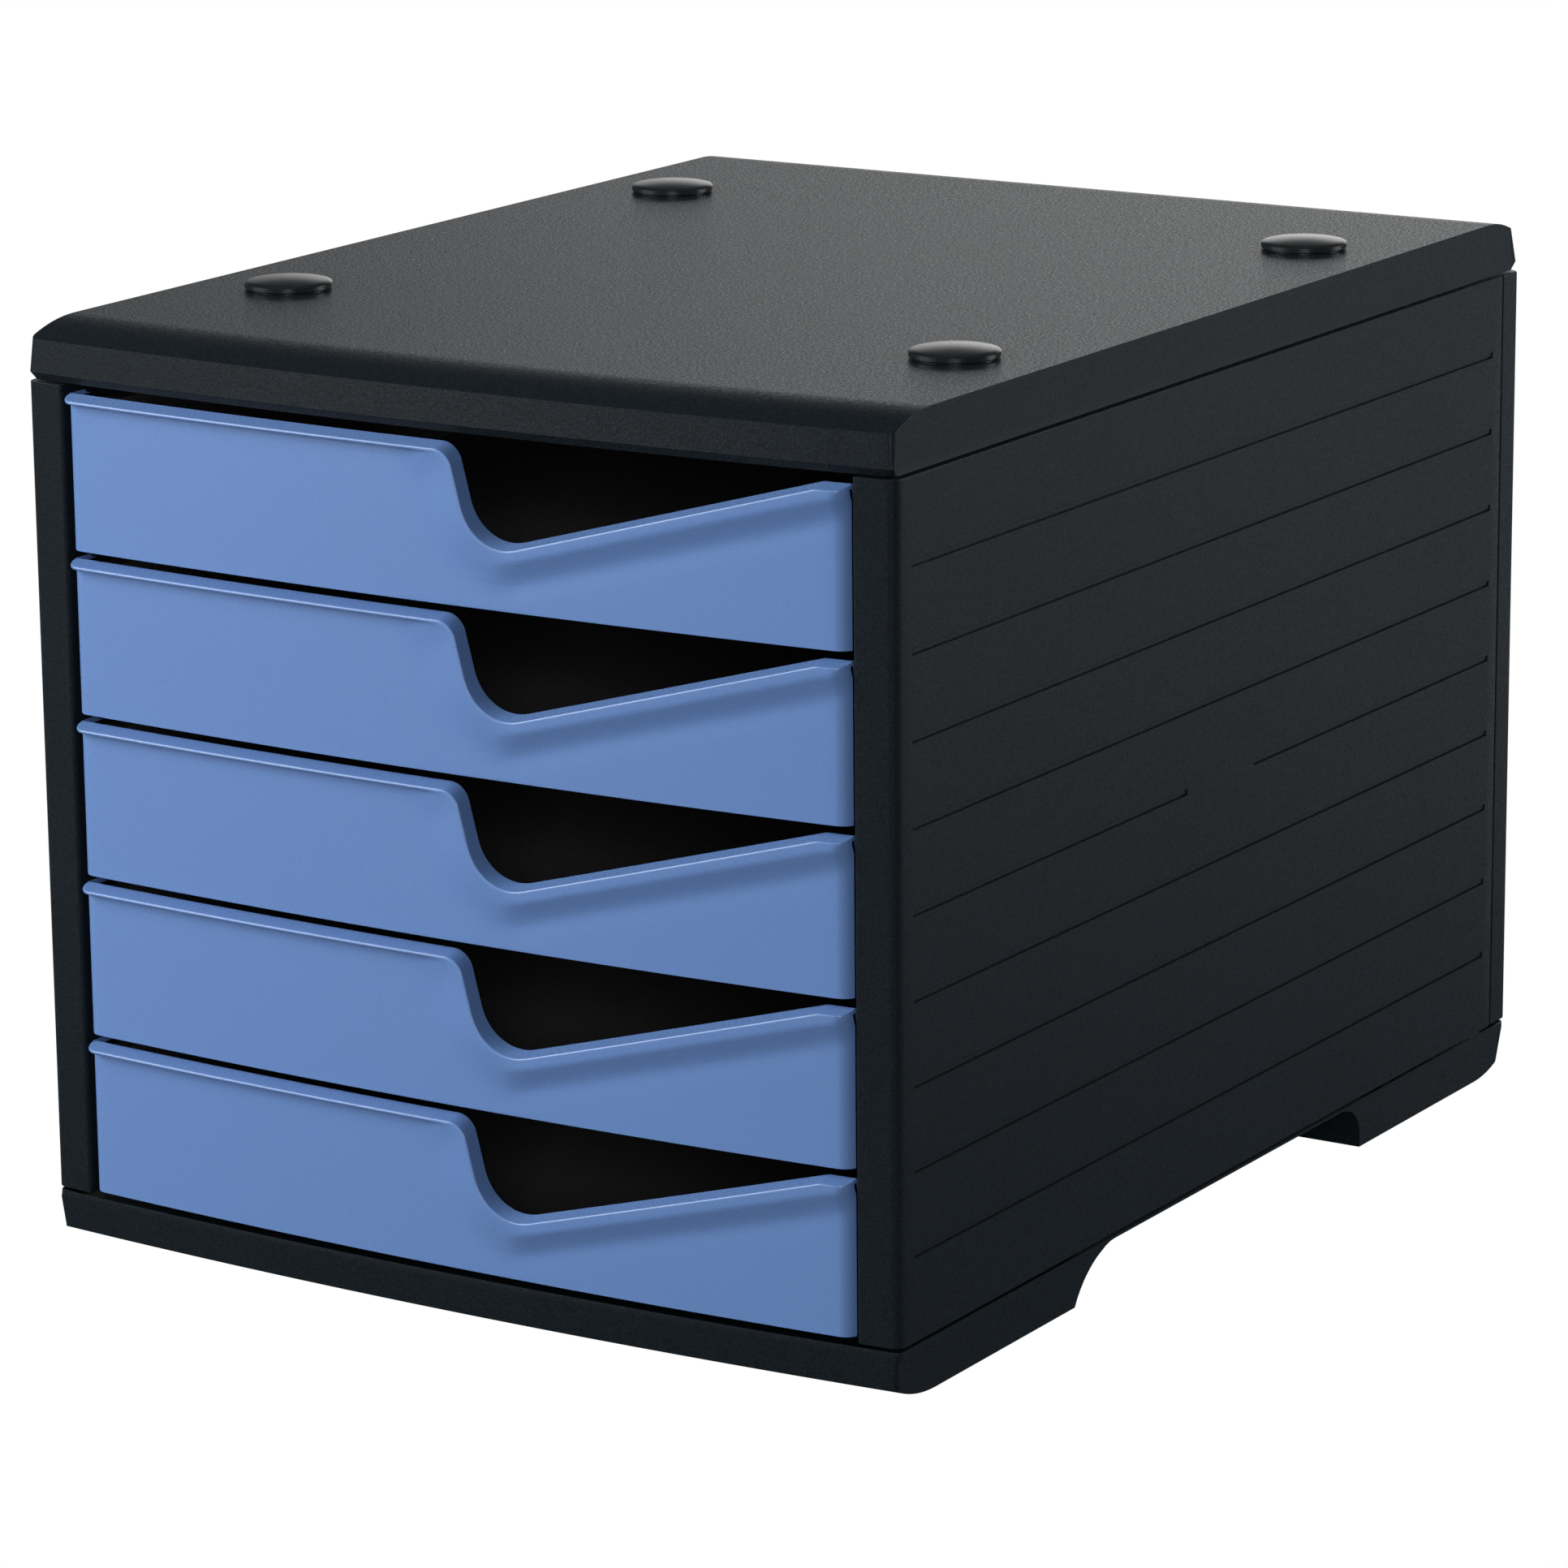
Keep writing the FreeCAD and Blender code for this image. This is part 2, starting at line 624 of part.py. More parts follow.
def tray_form(inset, front_inset, z0, z1):
    """The tray's tapering outside, or its inside at an inset."""
    rear_inset = panel_wall + tray_rear_gap + inset
    corner = tray_corner - inset
    low = plan_wire(tray_half - tray_draft - inset, front_inset, rear_inset + tray_draft,
                    corner - tray_draft, corner - tray_draft, z0)
    high = plan_wire(tray_half - inset, front_inset, rear_inset, corner, corner, z1)
    return Part.makeLoft([low, high], True, True)


def drawer_tray():
    """A tray with its flanges and pull-out stops, at the height of its front."""
    top = sill_wall + tray_height
    outer = tray_form(0, face_wall, sill_wall, top)
    inner = tray_form(tray_wall, face_wall + tray_wall, sill_wall + tray_floor, top + past)
    tray = outer.cut(inner)

    edge_points, edge_radii = front_edge(front_wall_drop)
    above = edge_points + [(face_half, 2 * front_height), (-face_half, 2 * front_height)]
    front_zone = front_y + face_wall + tray_wall + past
    tray = tray.cut(lengthways(above, edge_radii + [0, 0], front_y - reach, front_zone))
    low_back = tray_half - tray_corner - tray_wall
    tray = tray.cut(box(-low_back, low_back, rear_y / 2, rear_y,
                        sill_wall + tray_back_height, top + past))

    window_z = sill_wall + tray_floor + clip_height - clip_play
    window_height = clip_wall + clip_barb + 2 * clip_play
    for x in clip_places:
        half = clip_width / 2 + clip_play
        tray = tray.cut(box(x - half, x + half, front_y - front_bow, front_zone,
                            window_z, window_z + window_height))

    flange_start = front_y + front_return + closed_play
    flange_end = back_inner_y - closed_play
    for side in (-1, 1):
        inner_x = tray_half - tray_draft
        for x1, y0, y1 in ((flange_half, flange_start, flange_end),
                           (stop_half, stop_front_y, stop_front_y + stop_length)):
            bar = box(inner_x, x1, y0, y1, flange_low, flange_top)
            tray = tray.fuse(bar if side > 0 else mirrored(bar))
    return tray.removeSplitter()


# ---- Everything -------------------------------------------------------------------------------

def main():
    """Builds and writes every sub-part."""
    os.makedirs("parts", exist_ok=True)
    right_panel = side_panel()
    export(cover(), "top_cover")
    export(base(), "base")
    export(right_panel, "side_panel_right")
    export(mirrored(right_panel), "side_panel_left")
    export(back_panel(), "back_panel")
    for y, end in zip(button_ys, ("front", "rear")):
        for x, side in ((-button_x, "left"), (button_x, "right")):
            export(stacking_button(x, y), "stacking_button_" + end + "_" + side)
    for y, end in zip(pad_ys, ("front", "rear")):
        for x, side in ((-pad_x, "left"), (pad_x, "right")):
            export(foot_pad(x, y), "foot_pad_" + end + "_" + side)
    front = drawer_front()
    tray = drawer_tray()
    for number in range(1, drawer_count + 1):
        rise = V(0, 0, drawer_z(number))
        export(front.translated(rise), "drawer_front_" + str(number))
        export(tray.translated(rise), "drawer_tray_" + str(number))


main()
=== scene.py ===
"""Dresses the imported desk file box: housing mouldings, drawer fronts, trays, buttons and pads.

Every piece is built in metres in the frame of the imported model: X across the box, drawers pull
out towards -Y, +Z up. Sizes that the frame knows are read from it, and the others are fields here.
"""

import logging
import math
from dataclasses import dataclass, field
from enum import Enum
from typing import Callable, Iterable, NamedTuple, Sequence

import bmesh
import bpy
from mathutils import Matrix, Vector

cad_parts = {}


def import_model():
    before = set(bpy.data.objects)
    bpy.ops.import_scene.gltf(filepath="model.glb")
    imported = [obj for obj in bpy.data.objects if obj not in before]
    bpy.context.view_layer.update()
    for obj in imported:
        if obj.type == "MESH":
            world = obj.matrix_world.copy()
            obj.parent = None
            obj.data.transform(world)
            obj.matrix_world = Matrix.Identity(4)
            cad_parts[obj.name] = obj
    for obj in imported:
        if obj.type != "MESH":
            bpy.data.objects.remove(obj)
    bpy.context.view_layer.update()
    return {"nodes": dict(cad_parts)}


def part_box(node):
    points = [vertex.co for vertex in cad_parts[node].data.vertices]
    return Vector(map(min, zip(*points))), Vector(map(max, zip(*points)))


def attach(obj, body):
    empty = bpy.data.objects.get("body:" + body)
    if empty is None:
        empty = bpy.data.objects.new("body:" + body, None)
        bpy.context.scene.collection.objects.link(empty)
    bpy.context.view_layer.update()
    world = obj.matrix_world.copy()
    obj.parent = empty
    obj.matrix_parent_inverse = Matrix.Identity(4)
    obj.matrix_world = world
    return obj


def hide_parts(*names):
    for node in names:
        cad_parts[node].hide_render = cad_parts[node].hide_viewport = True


LOG = logging.getLogger("file_box")
MM = 0.001
TINY = 0.02 * MM
X, Y, Z = range(3)

Vert = bmesh.types.BMVert
Edge = bmesh.types.BMEdge
Face = bmesh.types.BMFace
Piece = bpy.types.Object
Socket = bpy.types.NodeSocket
Pair = tuple[float, float]
Inputs = dict[str | int, object]
UP = Vector((0, 0, 1))


# ---- Choices ----


class Slot(Enum):
    """Material slots of the record."""

    HOUSING = "housing"
    BUTTON = "button"
    PAD = "pad"
    TRAY = "drawer_tray"
    FRONT = "drawer_front"


class Side(Enum):
    """The two sides of the box, as the sign of X."""

    LEFT = -1
    RIGHT = 1

    @property
    def word(self) -> str:
        """The side's name in lower case."""
        return self.name.lower()


class Round(NamedTuple):
    """A rounded edge: its radius and the number of its steps."""

    radius: float
    steps: int


# ---- Finishes ----


class Graph:
    """The node tree of a material or of the world, under construction."""

    def __init__(self, owner: bpy.types.Material | bpy.types.World) -> None:
        """Empties the owner's tree.

        Args:
            owner: The material or the world.
        """
        owner.use_nodes = True
        self.tree = owner.node_tree
        self.tree.nodes.clear()

    def add(self, kind: str, inputs: Inputs, operation: str = "") -> bpy.types.Node:
        """Adds a node.

        Args:
            kind: Its type.
            inputs: A value or another node's output for each input, by name or number.
            operation: What a node that calculates does.

        Returns:
            The node.
        """
        node = self.tree.nodes.new("ShaderNode" + kind)
        if operation:
            node.operation = operation
        for key, given in inputs.items():
            if isinstance(given, Socket):
                self.tree.links.new(given, node.inputs[key])
            else:
                node.inputs[key].default_value = given
        return node

    def place(self, space: str) -> bpy.types.NodeOutputs:
        """The axes of a texture coordinate, by their letters."""
        return self.add("SeparateXYZ", {0: self.add("TexCoord", {}).outputs[space]}).outputs

    def ramp(self, value: Socket, source: Pair, target: Pair, soft: bool = True) -> Socket:
        """Maps a value from one range to another.

        Args:
            value: The value.
            source: Its range.
            target: The range that it is mapped to.
            soft: Whether it starts and ends level.

        Returns:
            The mapped value.
        """
        node = self.add("MapRange", {"Value": value, "From Min": source[0], "From Max": source[1],
                                     "To Min": target[0], "To Max": target[1]})
        if soft:
            node.interpolation_type = "SMOOTHSTEP"
        return node.outputs["Result"]

    def product(self, first: Socket, second: Socket) -> Socket:
        """One value times another."""
        return self.add("Math", {0: first, 1: second}, "MULTIPLY").outputs[0]

    def seen_as_white(self, lit: bpy.types.Node, white: str, out: str) -> None:
        """Shows the camera a plain white, and everything else what is lit.

        Args:
            lit: The shader for every other ray.
            white: Type of the shader for the camera's rays.
            out: Type of the output.
        """
        plain = self.add(white, {"Color": (1, 1, 1, 1), "Strength": 1.0})
        path = self.add("LightPath", {}).outputs["Is Camera Ray"]
        mix = self.add("MixShader", {"Fac": path, 1: lit.outputs[0], 2: plain.outputs[0]})
        self.add(out, {"Surface": mix.outputs[0]})


@dataclass(frozen=True)
class PlasticFinish:
    """A moulded plastic with a fine spark-eroded grain.

    Attributes:
        name: Name of the material.
        colour: Linear base colour.
        mottle: How far the colour varies, as a share of it.
        roughness: Middle roughness.
        rough_spread: How much smoother the tips of the grain are, and its pits rougher.
        grain: Size of the grain in metres.
        grain_height: Height of the grain in metres.
        speckle: How much lighter the tips of the grain are, as a share of the colour.
        gloss: Specular level.
        grain_detail, grain_roughness: How finely and how strongly the grain is broken up.
        cloud, cloud_detail: Size of the patches in which the colour varies, and how broken up.
        tip_range, rough_range: Heights of the grain between which colour and roughness change.
    """

    name: str
    colour: tuple[float, float, float]
    mottle: float
    roughness: float
    rough_spread: float
    grain: float
    grain_height: float
    speckle: float
    gloss: float
    grain_detail: float = 2.0
    grain_roughness: float = 0.6
    cloud: float = 90.0 * MM
    cloud_detail: float = 3.0
    tip_range: Pair = (0.35, 0.7)
    rough_range: Pair = (0.35, 0.65)

    def material(self) -> bpy.types.Material:
        """Builds the node material.

        Returns:
            The new material.
        """
        made = bpy.data.materials.new(self.name)
        graph = Graph(made)
        place = graph.add("TexCoord", {}).outputs["Object"]
        grain = graph.add("TexNoise", {
            "Vector": place, "Scale": 1 / self.grain, "Detail": self.grain_detail,
            "Roughness": self.grain_roughness}).outputs["Fac"]
        cloud = graph.add("TexNoise", {
            "Vector": place, "Scale": 1 / self.cloud, "Detail": self.cloud_detail}).outputs["Fac"]
        tone = graph.ramp(cloud, (0.0, 1.0), (1 - self.mottle, 1 + self.mottle), soft=False)
        tips = graph.ramp(grain, self.tip_range, (1 - self.speckle, 1 + self.speckle), soft=False)
        tone = graph.product(tone, tips)
        paint = graph.add("VectorMath", {0: self.colour, "Scale": tone}, "SCALE")
        rougher, smoother = self.roughness + self.rough_spread, self.roughness - self.rough_spread
        rough = graph.ramp(grain, self.rough_range, (rougher, smoother), soft=False)
        bump = graph.add("Bump", {"Height": grain, "Distance": self.grain_height, "Strength": 1.0})
        shader = graph.add("BsdfPrincipled", {
            "Base Color": paint.outputs[0], "Roughness": rough, "Normal": bump.outputs["Normal"],
            "Specular IOR Level": self.gloss})
        graph.add("OutputMaterial", {"Surface": shader.outputs[0]})
        return made


FINISHES = {
    Slot.HOUSING: PlasticFinish(
        "housing_plastic", (0.0090, 0.0130, 0.0168), mottle=0.10, roughness=0.36, rough_spread=0.10,
        grain=0.75 * MM, grain_height=0.08 * MM, speckle=0.35, gloss=0.09),
    Slot.BUTTON: PlasticFinish(
        "button_plastic", (0.012, 0.014, 0.016), mottle=0.06, roughness=0.24, rough_spread=0.02,
        grain=0.6 * MM, grain_height=0.006 * MM, speckle=0.10, gloss=0.35),
    Slot.PAD: PlasticFinish(
        "pad_rubber", (0.03, 0.03, 0.03), mottle=0.10, roughness=0.80, rough_spread=0.05,
        grain=0.7 * MM, grain_height=0.05 * MM, speckle=0.10, gloss=0.3),
    Slot.TRAY: PlasticFinish(
        "tray_plastic", (0.082, 0.082, 0.084), mottle=0.10, roughness=0.46, rough_spread=0.04,
        grain=0.75 * MM, grain_height=0.04 * MM, speckle=0.40, gloss=0.5),
    Slot.FRONT: PlasticFinish(
        "front_plastic", (0.122, 0.226, 0.487), mottle=0.02, roughness=0.29, rough_spread=0.03,
        grain=0.6 * MM, grain_height=0.018 * MM, speckle=0.04, gloss=0.5),
}
MATERIALS: dict[Slot, bpy.types.Material] = {}


def dress(piece: Piece, slot: Slot) -> None:
    """Gives a piece the finish of a material slot.

    Args:
        piece: The piece or CAD node.
        slot: The slot.
    """
    if slot not in MATERIALS:
        MATERIALS[slot] = FINISHES[slot].material()
    piece.data.materials.clear()
    piece.data.materials.append(MATERIALS[slot])


def settle(piece: Piece, node: str, body: str, slot: Slot) -> None:
    """Puts a piece in the place of its CAD node, dresses it and hangs it on its body.

    Args:
        piece: The piece.
        node: The node that it replaces.
        body: The body that it moves with.
        slot: The material slot that it takes its finish from.
    """
    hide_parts(node)
    dress(piece, slot)
    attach(piece, body)
    LOG.info("%s: %d faces, on %s", piece.name, len(piece.data.polygons), body)


# ---- Mesh helpers ----


def ease_share(share: float) -> float:
    """A soft step from 0 to 1, for a place along it that may lie outside 0 to 1."""
    held = min(1.0, max(0.0, share))
    return held * held * (3 - 2 * held)


def lies_at(part: Edge | Face, axis: int, place: float) -> bool:
    """Whether the whole of an edge or a face lies at a place along an axis."""
    return all(abs(v.co[axis] - place) < TINY for v in part.verts)


def span(part: Edge | Face, axis: int) -> Pair:
    """The lowest and the highest place of an edge or a face along an axis."""
    places = [v.co[axis] for v in part.verts]
    return min(places), max(places)


def length_along(edge: Edge, axis: int) -> float:
    """How far an edge reaches along an axis."""
    return abs(edge.verts[0].co[axis] - edge.verts[1].co[axis])


def circle_radius(half_chord: float, rise: float) -> float:
    """Radius of the circle of which half a chord and the rise above it are known."""
    return (half_chord ** 2 + rise ** 2) / (2 * rise)


def link(name: str, data: bpy.types.ID) -> Piece:
    """Puts a new object with its data into the scene.

    Args:
        name: Name of the object.
        data: Its mesh, light or camera.

    Returns:
        The object.
    """
    made = bpy.data.objects.new(name, data)
    bpy.context.scene.collection.objects.link(made)
    return made


@dataclass
class Moulding:
    """A solid under construction, with the operators that shape it."""

    bm: bmesh.types.BMesh = field(default_factory=bmesh.new, init=False, repr=False)

    def outline(self, points: Iterable[Vector]) -> Face:
        """Makes one face through points."""
        return self.bm.faces.new([self.bm.verts.new(p) for p in points])

    def faces(self, wanted: Callable[[Face], bool]) -> list[Face]:
        """The faces that a test wants."""
        return [f for f in self.bm.faces if wanted(f)]

    def round_off(self, place: Vector, size: Round) -> None:
        """Rounds one corner of a flat outline.

        Args:
            place: Where the corner is.
            size: Its round.
        """
        vert = min(self.bm.verts, key=lambda v: (v.co - place).length)
        first, second = (e.other_vert(vert).co - vert.co for e in vert.link_edges)
        leg = size.radius / math.tan(first.angle(second) / 2)
        bmesh.ops.bevel(self.bm, geom=[vert], offset=leg, offset_type="OFFSET",
                        segments=size.steps, profile=0.5, affect="VERTICES", material=-1)

    def ease(self, wanted: Callable[[Edge], bool], size: Round) -> None:
        """Rounds edges.

        Args:
            wanted: A test for them.
            size: Their round.
        """
        edges = [e for e in self.bm.edges if wanted(e)]
        bmesh.ops.bevel(self.bm, geom=edges, offset=size.radius, offset_type="OFFSET",
                        segments=size.steps, profile=0.5, affect="EDGES", material=-1,
                        clamp_overlap=True)

    def push(self, faces: Sequence[Face], offset: Vector, keep: bool = False) -> list[Face]:
        """Extrudes faces.

        Args:
            faces: The faces.
            offset: How far they move.
            keep: Whether they stay in place as well, which gives a flat sheet a thickness.

        Returns:
            The faces in their new place.
        """
        made = bmesh.ops.extrude_face_region(self.bm, geom=list(faces), use_keep_orig=keep)["geom"]
        bmesh.ops.translate(self.bm, verts=[g for g in made if isinstance(g, Vert)], vec=offset)
        if keep:
            self.outwards()
        else:
            bmesh.ops.delete(self.bm, geom=list(faces), context="FACES")
        return [g for g in made if isinstance(g, Face)]

    def inset(self, faces: Sequence[Face], width: float, boundary: bool = False) -> None:
        """Shrinks faces into their middle, with a band left round them.

        Args:
            faces: The faces.
            width: Width of the band.
            boundary: Whether open edges move in too.
        """
        bmesh.ops.inset_region(self.bm, faces=faces, thickness=width, use_even_offset=True,
                               use_boundary=boundary)

    def outwards(self) -> None:
        """Turns every face outwards."""
        bmesh.ops.recalc_face_normals(self.bm, faces=self.bm.faces)

    def cut(self, place: Vector, normal: Vector, faces: Sequence[Face] | None = None,
            clear: bool = False) -> list[Face]:
        """Divides faces along a plane.

        Args:
            place: A point of the plane.
            normal: Its normal.
            faces: The faces that it may divide, or None for all.
            clear: Whether what lies on the normal's side is removed.

        Returns:
            The faces and those that came of them.
        """
        if faces is None:
            geom = self.bm.verts[:] + self.bm.edges[:] + self.bm.faces[:]
        else:
            live = [f for f in faces if f.is_valid]
            corners = [v for f in live for v in f.verts]
            sides = [e for f in live for e in f.edges]
            geom = list(dict.fromkeys(corners + sides + live))
        made = bmesh.ops.bisect_plane(self.bm, geom=geom, dist=TINY, plane_co=place,
                                      plane_no=normal, clear_outer=clear)
        return [g for g in made["geom"] if isinstance(g, Face)]

    def slices(self, axis: int, places: Iterable[float],
               faces: Sequence[Face] | None = None) -> None:
        """Cuts the surface across an axis, so that it can bend or be divided there.

        Args:
            axis: The axis.
            places: Where it is cut.
            faces: Only these faces, or all of them.
        """
        normal = Vector([float(i == axis) for i in (X, Y, Z)])
        for place in places:
            divided = self.cut(normal * place, normal, faces)
            faces = None if faces is None else divided

    def move(self, shift: Callable[[Vector], Vector]) -> None:
        """Moves every vertex by a rule."""
        for v in self.bm.verts:
            v.co = shift(v.co)

    def finish(self, name: str, smooth_angle: float = 32.0) -> Piece:
        """Turns the moulding into an object with soft shading between its sharp edges.

        Args:
            name: Name of the piece.
            smooth_angle: Edges sharper than this, in degrees, stay sharp.

        Returns:
            The object.
        """
        bmesh.ops.remove_doubles(self.bm, verts=self.bm.verts, dist=TINY / 10)
        mesh = bpy.data.meshes.new(name)
        self.bm.to_mesh(mesh)
        self.bm.free()
        mesh.shade_smooth()
        mesh.set_sharp_from_angle(angle=math.radians(smooth_angle))
        made = link(name, mesh)
        even = made.modifiers.new("even_shading", "WEIGHTED_NORMAL")
        even.keep_sharp = True
        return made


# ---- Housing ----


@dataclass(frozen=True)
class Case:
    """Places of the housing that its pieces share, in metres.

    Attributes:
        half_width: Half the outer width.
        front_y: The front corners.
        rear_y: The back.
        base_z: Bottom of the feet, above the pads.
        seam_low: Seam between the base and the panels.
        seam_high: Seam between the panels and the cover.
        top_z: Top of the cover.
        bow: How far the middle of the front stands out.
        tongue: How far the panels' tongues reach past the seams.
    """

    half_width: float
    front_y: float
    rear_y: float
    base_z: float
    seam_low: float
    seam_high: float
    top_z: float
    bow: float = 6.0 * MM
    tongue: float = 8.5 * MM

    @classmethod
    def from_frame(cls) -> "Case":
        """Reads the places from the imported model's nodes.

        Returns:
            The case.
        """
        panel_low, panel_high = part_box("side_panel_right")
        cover_low, cover_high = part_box("top_cover")
        base_low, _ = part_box("base")
        return cls(
            half_width=panel_high.x,
            front_y=cover_low.y + cls.bow,
            rear_y=cover_high.y,
            base_z=base_low.z,
            seam_low=panel_low.z + cls.tongue,
            seam_high=panel_high.z - cls.tongue,
            top_z=cover_high.z,
        )

    def bow_y(self, x: float) -> float:
        """How far behind the middle of the front the bow lies at a place across the box."""
        radius = circle_radius(self.half_width, self.bow)
        return radius - math.sqrt(radius ** 2 - x ** 2)

    def bend(self, co: Vector) -> Vector:
        """Lays a point of a straight front, whose face is at y = 0, on the bowed front."""
        return Vector((co.x, co.y + self.front_y - self.bow + self.bow_y(co.x), co.z))

    @staticmethod
    def steps(half: float, step: float) -> list[float]:
        """Places across the box at which a piece is cut so that it can bend."""
        count = max(1, round(2 * half / step))
        return [-half + 2 * half * i / count for i in range(1, count)]


class Fall(NamedTuple):
    """The end of a cap: run, drop and steps of its shallow round, and how far it leans in."""

    run: float
    drop: float
    draft: float
    steps: int


@dataclass
class Cap(Moulding):
    """The cover, or the base upside down: a shallow shell with rounded long edges.

    Attributes:
        case: Places of the housing.
        height: From its seam to its outer face.
        notch: How far its seam edge stands back.
        feet: Whether it is divided into two feet.
    """

    case: Case
    height: float
    notch: float
    feet: bool
    notch_height: float = 2.0 * MM
    side_draft: float = 1.5 * MM
    front: Fall = Fall(20.0 * MM, 4.4 * MM, 1.2 * MM, 8)
    rear: Fall = Fall(16.0 * MM, 3.8 * MM, 3.0 * MM, 6)
    edge: Round = Round(1.5 * MM, 4)
    edge_band: float = 1.68 * MM  # how far in from the drafted side its long edge may lie
    edge_fold: float = 50.0  # degrees that it is folded by at least
    corner: Round = Round(2.8 * MM, 5)
    ridge: Round = Round(0.6 * MM, 3)
    ridge_fold: Pair = (30.0, 75.0)
    wall: float = 2.6 * MM
    step: float = 9.0 * MM
    foot_length: float = 96.5 * MM
    foot_steps: int = 10
    foot_runs: Pair = (20.5 * MM, 14.6 * MM)
    nose: float = 0.7 * MM
    rim: float = 0.35 * MM
    rim_height: float = 2.5 * MM
    socket: float = 13.2 * MM
    socket_sides: int = 28
    socket_depth: float = 4.5 * MM
    socket_x: float = 111.0 * MM
    socket_end: float = 82.0 * MM

    def __post_init__(self) -> None:
        """Works out the length over the front corners and the back."""
        self.length = self.case.rear_y - self.case.front_y

    def at(self, y: float, z: float) -> Vector:
        """A point of the lengthways section, in the plane x = -half_width."""
        return Vector((-self.case.half_width, y, z))

    def arc(self, start: Vector, radius: float, way: int, angle: float, steps: int) -> list[Vert]:
        """Spins one vertex into a chain along an arc in the YZ plane.

        Args:
            start: Where the arc starts, level.
            radius: Its radius, downwards if negative.
            way: 1 if it turns about +X, or -1 about -X.
            angle: How far it turns.
            steps: Number of its steps.

        Returns:
            The chain's vertices in order.
        """
        centre, turn = start + UP * radius, way * angle
        first = self.bm.verts.new(start)
        before = set(self.bm.verts)
        bmesh.ops.spin(self.bm, geom=[first], cent=centre, axis=(1, 0, 0), angle=turn, steps=steps)
        made = [v for v in self.bm.verts if v not in before]
        end = centre + Matrix.Rotation(turn, 3, "X") @ (start - centre)
        chain = [first] + sorted(made, key=lambda v: -(v.co - end).length)
        for e in dict.fromkeys(e for v in chain for e in v.link_edges):
            self.bm.edges.remove(e)
        return chain

    def end_round(self, y: float, way: int, fall: Fall) -> list[Vert]:
        """The shallow round at one end of the section, from the outer face down.

        Args:
            y: The end.
            way: 1 if the section lies towards +Y of it, or else -1.
            fall: Its sizes.

        Returns:
            The vertices in order.
        """
        radius = circle_radius(fall.run, fall.drop)
        lean = fall.draft * (self.height - fall.drop) / self.height
        flat = self.at(y + way * (lean + fall.run), self.height)
        return self.arc(flat, -radius, way, math.asin(fall.run / radius), fall.steps)

    def arch(self) -> list[Vert]:
        """The hollow between the feet, with its curved ends.

        Returns:
            The vertices in order, from the front foot to the rear foot.
        """
        rise = self.height - self.nose
        ends = (self.foot_length, self.length - self.foot_length)
        chain = []
        for end, run, way in zip(ends, self.foot_runs, (1, -1)):
            angle = 2 * math.atan(rise / run)
            curve = self.arc(self.at(end + way * run, self.nose), circle_radius(run, rise), -way,
                             angle, self.foot_steps)
            chain += reversed(curve) if way > 0 else curve
        return chain

    def profile(self) -> Face:
        """Draws the lengthways section, with the seam at z = 0, and makes it a face.

        Returns:
            The face.
        """
        new = self.bm.verts.new
        chain = [new(self.at(self.notch, 0)), new(self.at(0, self.notch_height))]
        chain += reversed(self.end_round(0, 1, self.front))
        if self.feet:
            chain += self.arch()
        chain += self.end_round(self.length, -1, self.rear)
        chain.append(new(self.at(self.length, self.notch_height)))
        chain.append(new(self.at(self.length - self.notch, 0)))
        return self.bm.faces.new(chain)

    def taper(self, co: Vector) -> Vector:
        """Leans the sides in, and sets their seam edge back.

        Args:
            co: A vertex of the straight-sided cap.

        Returns:
            Its new place.
        """
        above = co.z - self.notch_height
        if above < -TINY:
            inset = self.notch * (1 - co.z / self.notch_height)
        else:
            inset = self.side_draft * max(0.0, above) / (self.height - self.notch_height)
        return Vector((math.copysign(self.case.half_width - inset, co.x), co.y, co.z))

    def bend(self, co: Vector) -> Vector:
        """Bows the front, and leaves the rest straight.

        Args:
            co: A vertex of the straight cap, whose front is at y = 0.

        Returns:
            Its place in the case.
        """
        shift = 0.0
        if co.y < self.front.run + self.front.draft + TINY:
            shift = self.case.bow_y(min(abs(co.x), self.case.half_width)) - self.case.bow
        return Vector((co.x, co.y + shift + self.case.front_y, co.z))

    def ease_edges(self) -> None:
        """Rounds the upright corners, then the long edges, then the ridge along the front."""
        near_rear, near_front = self.length - 2 * self.rear.draft, 2 * self.front.draft
        self.ease(lambda e: length_along(e, Z) > length_along(e, Y)
                  and (span(e, Y)[0] > near_rear or span(e, Y)[1] < near_front)
                  and length_along(e, X) < self.edge.radius, self.corner)
        side = self.case.half_width - self.side_draft - self.edge_band
        self.ease(lambda e: min(abs(v.co.x) for v in e.verts) > side
                  and length_along(e, Y) > length_along(e, Z)
                  and e.calc_face_angle(0.0) > math.radians(self.edge_fold)
                  and span(e, Z)[0] > self.height - self.front.drop - TINY, self.edge)
        least, most = (math.radians(a) for a in self.ridge_fold)
        self.ease(lambda e: least < e.calc_face_angle(0.0) < most
                  and length_along(e, Y) < self.corner.radius
                  and span(e, Y)[1] < self.corner.radius + self.front.draft
                  and span(e, Z)[0] > self.height / 2, self.ridge)

    def hollow(self) -> None:
        """Opens the cover into a shallow shell at its seam, or leaves a rim at that of the feet."""
        seam = self.faces(lambda f: span(f, Z)[1] < TINY)
        if not self.feet:
            self.inset(seam, self.wall)
            self.push(seam, UP * (self.height - 2 * self.wall - self.front.drop))
            return
        ends = (self.case.front_y + self.foot_length, self.case.rear_y - self.foot_length)
        self.slices(Y, ends, seam)
        for way, end in zip((-1, 1), ends):
            foot = self.faces(lambda f: span(f, Z)[1] < TINY
                              and way * (f.calc_center_median().y - end) > 0)
            self.inset(foot, self.rim)
            self.push(foot, UP * self.rim_height)

